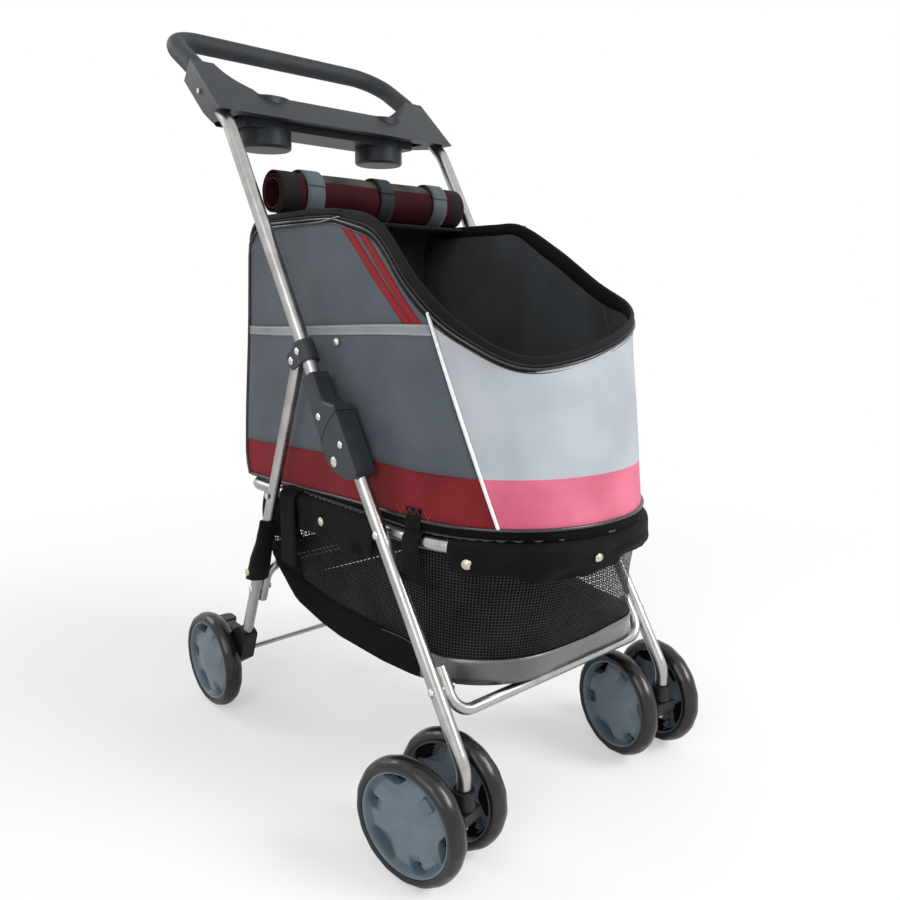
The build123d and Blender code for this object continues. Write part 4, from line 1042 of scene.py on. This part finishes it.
# Each ribbon's place front to back at its top and at its foot, and its width.
ribbons = ((-0.0545, -0.198, 0.0115), (-0.080, -0.2127, 0.0105))
ribbon_foot_z, ribbon_high_z, ribbon_rise = 0.6, 0.731, 0.131
for side, side_name in ((-1, "right"), (1, "left")):
    for stripe, (top_y, foot_y, width) in enumerate(ribbons):

        def ribbon_middle(z):
            return foot_y + (top_y - foot_y) * (z - ribbon_foot_z) / ribbon_rise

        ribbon_top = ribbon_high_z
        for _ in range(12):
            front_run = side_run(ribbon_middle(ribbon_top) - 0.008, ribbon_top)
            under_tape = rim_z(side * front_run) - 0.012
            ribbon_top = 0.5 * ribbon_top + 0.5 * min(ribbon_high_z, under_tape)

        def ribbon_place(across, up):
            z = ribbon_foot_z + up * (ribbon_top - ribbon_foot_z)
            y = ribbon_middle(z) + side * (across - 0.5) * width * 1.4
            run = side * side_run(y, z)
            return wall_point(run, z, slack(run, z, panel_slack) + 0.0007), (y, z * 1.4)

        ribbon = cloth_grid(
            f"stripe_{stripe + 1}_{side_name}", 3, 26, ribbon_place, ribbon_red, thickness=0.0006
        )
        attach(ribbon, "carrier")
        1.34 * (ribbon_top - 0.6)

# ------------------------------------------------------------------ side pockets
# A flat pocket of the slate cloth covers each side panel below the stripes.
# Pale tape, stitched twice, binds its top, and a snap closes its middle.

pale_tape = woven("pale_tape", (0.19, 0.205, 0.22), (0.31, 0.325, 0.345), thread=0.0009, fold=0.5)
pale_thread = Finish("pale_thread", (0.62, 0.63, 0.64), 0.6, Sheen_Weight=0.3)
thread_shade = pale_thread.noise(pale_thread.place(), 900.0)
pale_thread.feed(
    "Base Color",
    pale_thread.ramp(thread_shade, (0.3, (0.5, 0.51, 0.52)), (0.7, (0.72, 0.73, 0.74))),
)
pale_thread.relief(thread_shade, 0.0002)


def pocket_top(y):
    """The pocket's top edge is a little lower at the back."""
    return 0.6136 - 0.0145 * step(y, -0.24, 0.18)


def pocket_run(from_seam, z):
    start = seam_run(z) + 0.0035
    return start + from_seam * (side_run(rear_at(z) - 0.004, z) - start)


for side, side_name in ((-1, "right"), (1, "left")):

    def pocket_place(across, up):
        from_seam = across if side > 0 else 1 - across
        y = wall_point(pocket_run(from_seam, 0.6), 0.6).y
        low = band_z(y) + 0.001
        z = low + up * (pocket_top(y) - low)
        run = pocket_run(from_seam, z)
        sag = slack(run, z, 0.0030) * (1 - 0.9 * step(up, 0.7, 1.0))
        sag = sag * (1 - 0.5 * step(up, 0.2, 0.6))
        return wall_point(side * run, z, 0.0013 + sag), (run, z)

    pocket = cloth_grid(
        f"side_pocket_{side_name}", 56, 20, pocket_place, slate_cloth, thickness=0.0009
    )
    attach(pocket, "carrier")
    if side < 0:
        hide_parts("side_pockets")

    def tape_place(across, up):
        from_seam = across if side > 0 else 1 - across
        y = wall_point(pocket_run(from_seam, 0.6), 0.6).y
        z = pocket_top(y) - 0.0115 + 0.0122 * up
        return wall_point(side * pocket_run(from_seam, z), z, 0.0020), (from_seam * 0.4, z)

    tape = cloth_grid(
        f"pocket_tape_{side_name}", 56, 4, tape_place, pale_tape, thickness=0.0007
    )
    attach(tape, "carrier")
    for row, height in (("low", 0.14), ("high", 0.86)):
        line = [
            tape_place(index / 60, height)[0] + Vector((side * 0.0001, 0, 0))
            for index in range(61)
        ]
        repeated(
            f"pocket_stitches_{row}_{side_name}", line, 0.0041, (0.003, 0.0008, 0.0009),
            pale_thread,
        )

# ------------------------------------------------------------------ snaps
# Pressed nickel caps, domed with a rolled edge: one on each pocket and a few
# through the basket's hem.


def snap(name, centre, out, finish, body="carrier", radius=0.0052):
    """A domed cap spun from its section, facing out."""
    section = [
        (0.0, 0.0034), (0.4, 0.0031), (0.68, 0.0021), (0.82, 0.0009), (0.92, 0.0013), (1.0, 0.0012),
        (1.0, 0.0),
    ]
    shape = bmesh.new()
    ring = [shape.verts.new((share * radius, 0, height)) for share, height in section]
    edges = [shape.edges.new(pair) for pair in zip(ring, ring[1:])]
    bmesh.ops.spin(
        shape, geom=ring + edges, cent=(0, 0, 0), axis=(0, 0, 1), angle=2 * pi, steps=24,
        use_merge=True,
    )
    bmesh.ops.remove_doubles(shape, verts=shape.verts, dist=1e-6)
    bmesh.ops.recalc_face_normals(shape, faces=shape.faces)
    turn = Vector((0, 0, 1)).rotation_difference(Vector(out)).to_matrix().to_4x4()
    bmesh.ops.transform(shape, matrix=Matrix.Translation(centre) @ turn, verts=shape.verts)
    cap = object_from(shape, name, finish.material)
    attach(cap, body)
    return cap


warm_nickel = Finish("snap_nickel", (0.55, 0.51, 0.42), 0.2, Metallic=1.0)
snap_marks = warm_nickel.noise(warm_nickel.place(), 600.0, 3.0)
warm_nickel.feed("Roughness", 0.14 + 0.2 * snap_marks)
warm_nickel.relief(snap_marks, 0.00008)
for side, side_name in ((-1, "right"), (1, "left")):
    snap(
        f"pocket_snap_{side_name}", (side * (half_at(0.5875) + 0.0026), -0.0496, 0.5875),
        (side, 0, 0), nickel,
    )

# ------------------------------------------------------------------ floor pad
# A thin quilted pad lies on a stiff board on the bag's floor. Black cloth
# over a sheet of wadding, stitched through in two rows across.

board_plastic = moulded("base_board", (0.022, 0.022, 0.023), (0.034, 0.034, 0.035), 800, 0.5)
board_plastic.wear("base_board")
quilted_cloth = woven(
    "quilted_cloth", (0.012, 0.013, 0.015), (0.022, 0.024, 0.027), fold=0.6, gloss=0.15
)
pad_low, pad_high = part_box("floor_pad")
pad_middle_y = (pad_low.y + pad_high.y) / 2
pad_shape = bmesh.new()
bmesh.ops.create_grid(pad_shape, x_segments=24, y_segments=40, size=1)
for vertex in pad_shape.verts:
    point = floor_place((vertex.co.x + 1) / 2, (vertex.co.y + 1) / 2)[0]
    y = pad_middle_y + (point.y + 0.086) * 0.955
    vertex.co = (point.x * 0.935, y, pad_low.z + 0.002)
pad_raised = bmesh.ops.extrude_face_region(pad_shape, geom=pad_shape.faces[:])
bmesh.ops.translate(
    pad_shape, vec=(0, 0, 0.009),
    verts=[item for item in pad_raised["geom"] if isinstance(item, bmesh.types.BMVert)],
)
bmesh.ops.recalc_face_normals(pad_shape, faces=pad_shape.faces)
pad = object_from(pad_shape, "quilted_floor_pad", quilted_cloth.material)


def settled_mesh(piece):
    """The piece's mesh as its modifiers leave it."""
    bpy.context.view_layer.update()
    ready = piece.evaluated_get(bpy.context.evaluated_depsgraph_get())
    return bpy.data.meshes.new_from_object(ready)


remesh = pad.modifiers.new("remesh", "REMESH")
remesh.mode = "VOXEL"
remesh.voxel_size = 0.006
pad.data = settled_mesh(pad)
pad.modifiers.clear()
before = [vertex.co.copy() for vertex in pad.data.vertices]
swell = pad.modifiers.new("swell", "CLOTH")
swell.settings.use_pressure = True
swell.settings.uniform_pressure_force = 4
swell.settings.effector_weights.gravity = 0
for moment in range(1, 21):
    bpy.context.scene.frame_set(moment)
swollen = settled_mesh(pad)
pad.modifiers.clear()
for vertex, start in zip(pad.data.vertices, before):
    motion = swollen.vertices[vertex.index].co - start
    motion.length = min(motion.length, 0.005)
    vertex.co = start + motion
bpy.data.meshes.remove(swollen)
bpy.context.scene.frame_set(1)
for vertex in pad.data.vertices:
    seam_distance = min(abs(vertex.co.y + 0.19), abs(vertex.co.y + 0.01))
    if vertex.co.z > pad_low.z + 0.006:
        vertex.co.z -= 0.0042 * (1 - step(seam_distance, 0.0, 0.016))
    vertex.co.z = min(pad_high.z + 0.003, max(pad_low.z + 0.0004, vertex.co.z))
pad.data.materials.clear()
pad.data.materials.append(quilted_cloth.material)
pad.data.shade_smooth()
pad_smooth = pad.modifiers.new("smooth", "SUBSURF")
pad_smooth.levels = 1
pad_smooth.render_levels = 1
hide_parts("floor_pad")
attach(pad, "carrier")

# ------------------------------------------------------------------ rolled cover
# The opening's cover, rolled up and strapped at the back of the top. Maroon
# cloth with a black border at each end and a black mesh window.

maroon_cloth = woven(
    "maroon_cloth", (0.022, 0.0028, 0.004), (0.044, 0.006, 0.009), fold=0.8, gloss=0.06
)
window_mesh = Finish("window_mesh", (0.02, 0.02, 0.02), 0.6, Specular_IOR_Level=0.08)
window_threads = window_mesh.place(scale=(2 * pi / 0.0026, 2 * pi / 0.0026, 1), source="UV")
window_across = sine(window_mesh.axis(window_threads, "X"))
window_up = sine(window_mesh.axis(window_threads, "Y"))
window_weave = window_across * window_up
painted_glint_patches = window_mesh.noise(window_mesh.place(), 24.0)
# The grey in the mesh's threads and patches is painted highlight, standing in for glints on the
# black mesh.
window_mesh.feed(
    "Base Color",
    window_mesh.ramp(
        0.55 * abs(window_weave) + 0.75 * painted_glint_patches - 0.15,
        (0.35, (0.008, 0.008, 0.008)), (0.75, (0.17, 0.17, 0.15)),
    ),
)
window_mesh.feed("Roughness", 0.45 + 0.2 * painted_glint_patches)
window_mesh.relief(window_weave, 0.0006)

roll_y, roll_z = 0.1055, 0.7776
roll_turns, tail_share = 2.6, 0.07
roll_inner_r, roll_outer_r = 0.0186, 0.0306
strap_places = (-0.11, 0.010, 0.11)


def cover_place(across, up):
    """Along the roll, and from its inner end out to the tail that is sewn to the top."""
    x = 0.16 - 0.32 * across
    share = min(1.0, up / (1 - tail_share))
    angle = radians(-90) - 2 * pi * roll_turns * (1 - share)
    r = roll_inner_r + (roll_outer_r - roll_inner_r) * share
    r *= 1 + 0.03 * share * noise.noise(Vector((x * 9, cos(angle) * 1.3, sin(angle) * 1.3)))
    pinch = sum(1 - step(abs(x - place), 0.006, 0.034) for place in strap_places)
    r -= 0.0010 * pinch * share
    along = 0.0
    if share == 1.0:
        along = (up - (1 - tail_share)) / tail_share * 0.028
    turned = 0.155 * roll_turns * share
    point = Vector((x, roll_y + r * cos(angle) + along, roll_z + r * sin(angle)))
    if along > 0:
        point.z = 0.7466 + (0.7456 - 0.7466) * along / 0.028 + 0.0006
        point.y = roll_y + along
    return point, (x, turned + along)


cover = cloth_grid(
    "rolled_cover", 96, 150, cover_place, maroon_cloth, maroon_cloth, binding_cloth,
    maroon_cloth, window_mesh, maroon_cloth, thickness=0.0016,
)
for face in cover.data.polygons:
    if abs(face.center.x) > 0.135:
        face.material_index = 2
    elif face.center.z > 0.7935 and abs(face.center.x) < 0.126:
        face.material_index = 4
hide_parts("cover_roll")
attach(cover, "carrier")

# ------------------------------------------------------------------ roll straps
# Three straps of flat webbing hold the rolled cover, each closed by a tab that
# overlaps its own end.

slate_webbing = woven(
    "slate_webbing", (0.050, 0.064, 0.076), (0.080, 0.098, 0.113), thread=0.0018, fold=0.2
)
dark_webbing = woven(
    "dark_webbing", (0.014, 0.016, 0.018), (0.026, 0.029, 0.032),
    thread=0.0018, fold=0.2, gloss=0.12
)
black_webbing = woven(
    "black_webbing", (0.003, 0.003, 0.003), (0.008, 0.008, 0.008),
    thread=0.0018, fold=0.2, gloss=0.06
)
strap_loop_r = 0.0316
strap_turn = 2 * pi + 0.85
for strap_x, strap_name, width, webbing in (
    (-0.11, "right", 0.027, slate_webbing), (0.010, "middle", 0.024, dark_webbing),
    (0.11, "left", 0.027, slate_webbing),
):

    def strap_place(across, up):
        angle = radians(115) + strap_turn * up
        r = strap_loop_r + 0.0016 * step(up, 0.80, 0.90)
        x = strap_x + width * (0.5 - across)
        return (
            Vector((x, roll_y + r * cos(angle), roll_z + r * sin(angle))),
            (x, strap_turn * strap_loop_r * up),
        )

    strap = cloth_grid(f"cover_strap_{strap_name}", 4, 90, strap_place, webbing, thickness=0.0013)
    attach(strap, "carrier")
    if strap_name == "middle":
        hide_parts("cover_straps")

# ------------------------------------------------------------------ hanging basket
# A basket of coarse black net hangs from the ring tube. Its floor is black cloth, the band along
# its foot is vinyl at the front and black cloth at the sides, and the net sags a little between
# its edges.

net = Finish("basket_net", (0.02, 0.02, 0.021), 0.5, Specular_IOR_Level=0.2)
net_place = net.place(source="UV")
net_pitch = 0.0039
net_across = sine(net.axis(net_place, "X") * (pi / net_pitch))
net_up = sine(net.axis(net_place, "Y") * (pi / net_pitch))
thread_ridge = abs(net_across).math("MINIMUM", abs(net_across), abs(net_up))
net.feed("Alpha", thread_ridge < 0.58)
net_shade = net.noise(net.place(), 18.0, 3.0)
net.feed(
    "Base Color",
    net.ramp(net_shade, (0.35, (0.004, 0.004, 0.004)), (0.7, (0.02, 0.0205, 0.022))),
)
net.feed("Roughness", 0.4 + 0.2 * net_shade)
net.relief(1 - thread_ridge, 0.0008)

band_vinyl = Finish(
    "basket_vinyl", (0.05, 0.053, 0.058), 0.3, Specular_IOR_Level=0.8, Coat_Weight=1.0,
    Coat_Roughness=0.3,
)
vinyl_grain = band_vinyl.noise(band_vinyl.place(), 900.0, 2.0)
vinyl_sway = band_vinyl.noise(band_vinyl.place(), 22.0, 2.0)
band_vinyl.feed(
    "Base Color",
    band_vinyl.ramp(vinyl_sway, (0.3, (0.020, 0.022, 0.026)), (0.7, (0.046, 0.049, 0.055))),
)
band_vinyl.feed("Roughness", 0.24 + 0.2 * vinyl_sway)
band_vinyl.relief(vinyl_grain * 0.15 + vinyl_sway * 3.0, 0.0012)

basket_top_z = 0.3622
ring_half, ring_front_y, ring_r, ring_z = 0.172, -0.3515, 0.16, 0.371
foot_knots = (
    (-0.32, 0.1975), (-0.25, 0.1965), (-0.2, 0.194), (-0.13, 0.190), (-0.035, 0.1915),
    (0.009, 0.197), (0.066, 0.2095), (0.093, 0.2205), (0.115, 0.232),
)


def round_outline(share, half, rear_y, front_y, front_r, rear_r):
    """A place round an outline: 0 at its front's middle, 1 and -1 at its rear's middle."""
    side = 1 if share >= 0 else -1
    lengths = (
        half - front_r, front_r * pi / 2, rear_y - rear_r - front_y - front_r,
        rear_r * pi / 2, half - rear_r,
    )
    run = abs(share) * sum(lengths)
    part = 0
    while part < 4 and run > lengths[part]:
        run -= lengths[part]
        part += 1
    if part == 0:
        place = (run, front_y)
    elif part == 1:
        turn = run / front_r
        place = (half - front_r + front_r * sin(turn), front_y + front_r * (1 - cos(turn)))
    elif part == 2:
        place = (half, front_y + front_r + run)
    elif part == 3:
        turn = run / rear_r
        place = (half - rear_r + rear_r * cos(turn), rear_y - rear_r + rear_r * sin(turn))
    else:
        place = (half - rear_r - run, rear_y)
    return Vector((side * place[0], place[1], 0))


def foot_height(y):
    """The basket's underside is lowest near its middle and rises to the rear."""
    y = min(foot_knots[-1][0] - 0.0001, max(foot_knots[0][0], y))
    index = [y < knot[0] for knot in foot_knots].index(True) - 1
    (y0, z0), (y1, z1) = foot_knots[index], foot_knots[index + 1]
    return z0 + (z1 - z0) * (y - y0) / (y1 - y0)


def foot_point(share):
    front_r = 0.12 if share < 0 else 0.06
    half = 0.160 if share < 0 else 0.166
    point = round_outline(share, half, 0.112, -0.3007, front_r, 0.035)
    point.z = foot_height(point.y)
    return point


def basket_point(share, rise, proud=0.0):
    """A point of the net wall, rise from 0 at its foot to 1 under the ring tube."""
    low = foot_point(share)
    high = round_outline(share, ring_half - 0.0012, 0.154, ring_front_y + 0.0005, ring_r, 0.02)
    high.z = basket_top_z
    out = Vector((high.x, high.y + 0.1, 0)).normalized()
    to_rear = step(low.y, 0.02, 0.112)
    sway = 0.0035 * noise.noise(Vector((share * 9, rise * 2, 4.0)))
    bulge = 0.030 * to_rear * abs(out.y) - 0.004 + sway
    return low.lerp(high, rise) + out * (bulge * 4 * rise * (1 - rise) + proud)


def band_height(share):
    y = foot_point(share).y
    return 0.033 + 0.013 * step(y, -0.24, -0.16)


def net_wall_place(across, up):
    share = 2 * across - 1
    point = basket_point(share, up)
    return point, (share * 0.70, point.z)


def foot_band_place(across, up):
    share = 2 * across - 1
    low = foot_point(share)
    rise = up * band_height(share) / (basket_top_z - low.z)
    return basket_point(share, rise, 0.0013), (share * 0.70, rise)


def basket_floor_place(across, up):
    """The floor, cut to the foot's outline and sagging between its sides."""
    y = -0.3000 + up * 0.4115
    share = 1 - 2 * across
    low, high = 0.0, 1.0
    for _ in range(22):
        middle = (low + high) / 2
        if foot_point(middle if share > 0 else -middle).y < y:
            low = middle
        else:
            high = middle
    edge = foot_point(low if share >= 0 else -low)
    x = abs(share) * edge.x
    return Vector((x, y, foot_height(y) + 0.0006 - 0.002 * (1 - share ** 2))), (x, y)


net_wall = cloth_grid("basket_net_wall", 180, 18, net_wall_place, net, black_cloth)
for face in net_wall.data.polygons:
    if face.center.y > 0.05 and abs(face.center.x) > 0.10 and not 0.285 < face.center.z < 0.305:
        face.material_index = 1
foot_band = cloth_grid(
    "basket_foot_band", 180, 4, foot_band_place, band_vinyl, black_cloth, black_cloth,
    black_cloth, thickness=0.0011,
)
for face in foot_band.data.polygons:
    if face.center.y > -0.205:
        face.material_index = 2
basket_floor = cloth_grid("basket_floor", 32, 44, basket_floor_place, black_cloth, thickness=0.0012)
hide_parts("basket")
for piece, flat, area, resting in (
    (net_wall, (1.45, 0.19), 0.238, "ring_tube"),
    (foot_band, (1.3, 0.05), 0.0615, "basket_net_wall"),
    (basket_floor, (0.33, 0.43), 0.1325, "basket_net_wall"),
):
    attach(piece, "carrier")
    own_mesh(piece)

dark_thread = Finish("dark_thread", (0.12, 0.12, 0.125), 0.55, Sheen_Weight=0.3)
dark_thread_shade = dark_thread.noise(dark_thread.place(), 900.0)
dark_thread.feed(
    "Base Color",
    dark_thread.ramp(dark_thread_shade, (0.3, (0.16, 0.16, 0.165)), (0.7, (0.28, 0.28, 0.285))),
)
dark_thread.relief(dark_thread_shade, 0.0002)
seam_line = []
for index in range(161):
    share = (index / 80 - 1) * 0.42
    low = foot_point(share)
    rise = (band_height(share) - 0.003) / (basket_top_z - low.z)
    seam_line.append(basket_point(share, rise, 0.0016))
foot_stitches = repeated(
    "basket_band_stitches", seam_line, 0.0042, (0.003, 0.0008, 0.0009), dark_thread
)
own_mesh(foot_stitches)

# ------------------------------------------------------------------ basket hems
# Black cloth sleeves carry the basket on the ring tube: one round the front and
# one along each side, each with a loose flap hanging outside the net.


def ring_place(run):
    """The ring tube's centre line and the way out, by run from the front's middle."""
    side = 1 if run >= 0 else -1
    run = abs(run)
    flat = ring_half - ring_r
    if run < flat:
        return Vector((side * run, ring_front_y, ring_z)), Vector((0, -1, 0))
    if run < flat + ring_r * pi / 2:
        turn = (run - flat) / ring_r
        out = Vector((side * sin(turn), -cos(turn), 0))
        return Vector((side * flat, ring_front_y + ring_r, ring_z)) + out * ring_r, out
    along = ring_front_y + ring_r + run - flat - ring_r * pi / 2
    return Vector((side * ring_half, along, ring_z)), Vector((side, 0, 0))


def run_at(y):
    """Run of a place on the ring tube's side."""
    return y - ring_front_y - ring_r + ring_half - ring_r + ring_r * pi / 2


flap_knots = (
    (-0.60, 0.0415), (-0.4534, 0.040), (-0.36, 0.0425), (-0.23, 0.030), (-0.197, 0.026),
    (-0.1718, 0.026), (-0.14, 0.026), (-0.1098, 0.033), (-0.088, 0.037), (-0.053, 0.032),
    (-0.026, 0.0285), (0.009, 0.027), (0.05, 0.024), (0.11, 0.031), (0.19, 0.027), (0.60, 0.038),
)


def flap_drop(run):
    index = [run < knot[0] for knot in flap_knots].index(True) - 1
    (x0, drop0), (x1, drop1) = flap_knots[index], flap_knots[index + 1]
    return drop0 + (drop1 - drop0) * step(run, x0, x1)


flap_share, side_hem_run = 0.55, 0.24
hem_reach, side_hem_reach, side_hem_proud = 0.0093, 0.0083, 0.0078


def hem_section(run, up):
    """From the flap's loose edge up over the tube and down inside it."""
    centre, out = ring_place(run)
    drop = flap_drop(run)
    if up < flap_share:
        share = up / flap_share
        fall = 1 - share
        wave = 0.011 * noise.noise(Vector((run * 27, fall * 1.5, 2.0))) * step(fall, 0.0, 0.7)
        proud = hem_reach - 0.0035 * fall * fall + wave
        if abs(run) > side_hem_run:
            proud = min(proud, side_hem_proud)
        return centre + out * proud - Vector((0, 0, drop * fall))
    if up < 0.9:
        turn = (up - flap_share) / 0.35 * pi
        reach = side_hem_reach if abs(run) > side_hem_run else hem_reach
        return centre + out * (reach * cos(turn)) + Vector((0, 0, hem_reach * sin(turn)))
    return centre - out * hem_reach - Vector((0, 0, (up - 0.9) / 0.1 * 0.010))


hem_cloth = woven(
    "hem_cloth", (0.003, 0.003, 0.003), (0.008, 0.008, 0.0085), fold=1.5, matt=0.7, gloss=0.07
)
for name, start, end, columns, resting in (
    ("front_hem", -0.1986, 0.1986, 90, "ring_tube"),
    ("side_hem_right", -run_at(0.0465), -run_at(-0.1355), 44, "ring_tube"),
    ("side_hem_left", run_at(-0.1355), run_at(0.0465), 44, "ring_tube"),
):

    def hem_place(across, up):
        run = start + (end - start) * across
        return hem_section(run, up), (run, up * 0.08)

    hem = cloth_grid(name, columns, 20, hem_place, hem_cloth, thickness=0.001)
    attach(hem, "carrier")
    abs(end - start)
    if name == "front_hem":
        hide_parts("basket_hems")

for name, run, height in (
    ("right_front", -0.1751, 0.3576), ("middle_front", -0.0251, 0.3556),
    ("left_front", 0.125, 0.3556), ("right_side", -0.4305, 0.3539), ("left_side", 0.4305, 0.3539),
):
    centre, out = ring_place(run)
    share = (ring_z - height) / flap_drop(run)
    seat = hem_section(run, flap_share * (1 - share))
    snap(f"hem_snap_{name}", seat + out * 0.0001, out, warm_nickel, radius=0.0058)

# ------------------------------------------------------------------ ring straps
# Loops of black webbing hang the bag on the ring tube, and a longer one at each
# side runs on down over the basket's hem. Red zigzags sew the front tabs on.

red_thread = Finish("red_thread", (0.35, 0.03, 0.04), 0.5, Sheen_Weight=0.3)
red_thread_shade = red_thread.noise(red_thread.place(), 900.0)
red_thread.feed(
    "Base Color",
    red_thread.ramp(red_thread_shade, (0.3, (0.28, 0.02, 0.03)), (0.7, (0.42, 0.045, 0.055))),
)
red_thread.relief(red_thread_shade, 0.0002)
for side, side_name in ((-1, "right"), (1, "left")):
    for place_name, strap_y, width, tail in (
        ("front", -0.2115, 0.024, 0.034), ("rear", 0.052, 0.038, 0.082),
    ):
        centre_run = side * run_at(strap_y)

        def ring_strap_place(across, up):
            run = centre_run + (0.5 - across) * width
            centre, out = ring_place(run)
            over = 0.0106
            if up < 0.35:
                drop = (0.35 - up) / 0.35 * (0.012 + tail)
                return centre + out * (over + 0.0015) - Vector((0, 0, drop)), (run, up * 0.1)
            if up < 0.75:
                turn = (up - 0.35) / 0.40 * pi
                lift = Vector((0, 0, over * sin(turn)))
                reach = over * cos(turn) + 0.0015 * (1 + cos(turn)) / 2
                return centre + out * reach + lift, (run, up * 0.1)
            return centre - out * over - Vector((0, 0, (up - 0.75) / 0.25 * 0.012)), (run, up * 0.1)

        strap = cloth_grid(
            f"ring_strap_{place_name}_{side_name}", 4, 30, ring_strap_place, black_webbing,
            thickness=0.0012,
        )
        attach(strap, "carrier")
        if place_name == "rear":
            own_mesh(strap)

    def tab_place(across, up):
        run = side * (0.2495 + side * (across - 0.5) * 0.024)
        z = 0.3806 + 0.0264 * up
        return wall_point(run, z, 0.0044 - 0.0026 * step(up, 0.35, 0.8)), (run, z)

    tab = cloth_grid(
        f"ring_strap_tab_{side_name}", 4, 8, tab_place, black_webbing, thickness=0.0012
    )
    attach(tab, "carrier")
    zigzag = [
        wall_point(side * (0.2215 + 0.0056 * index), 0.402 + 0.0045 * (-1) ** index, 0.0018)
        for index in range(11)
    ]
    zigzag_stitches = repeated(
        f"ring_strap_zigzag_{side_name}", zigzag, 0.0029, (0.0027, 0.0009, 0.0009), red_thread
    )

# ------------------------------------------------------------------ leg sleeves
# A sleeve of black cloth is wrapped round each rear leg below the ring tube and
# closed with a snap. Its rear edge flares out at its foot.

for side, side_name in ((-1, "right"), (1, "left")):

    def sleeve_place(across, up):
        z = 0.235 + 0.095 * up
        leg_y = 0.0048 + (0.5619 - z) * 0.404
        turn = 2 * pi * across
        flare = 1 - step(up, 0.0, 0.95)
        reach = 0.0118 + 0.004 * flare + 0.0016 * noise.noise(Vector((turn, up * 4, 1.0)))
        behind = max(0.0, cos(turn))
        y = leg_y + (reach + 0.013 * flare * behind ** 2) * cos(turn)
        return (
            Vector((side * (0.189 + reach * sin(turn)), y, z - 0.004 * flare * behind)),
            (across * 0.09, z),
        )

    sleeve = cloth_grid(
        f"leg_sleeve_{side_name}", 36, 24, sleeve_place, hem_cloth, thickness=0.0011
    )
    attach(sleeve, "rear_frame")
    snap(
        f"sleeve_snap_{side_name}", (side * 0.2042, 0.138, 0.246), (side, 0, 0), warm_nickel,
        body="rear_frame", radius=0.005,
    )
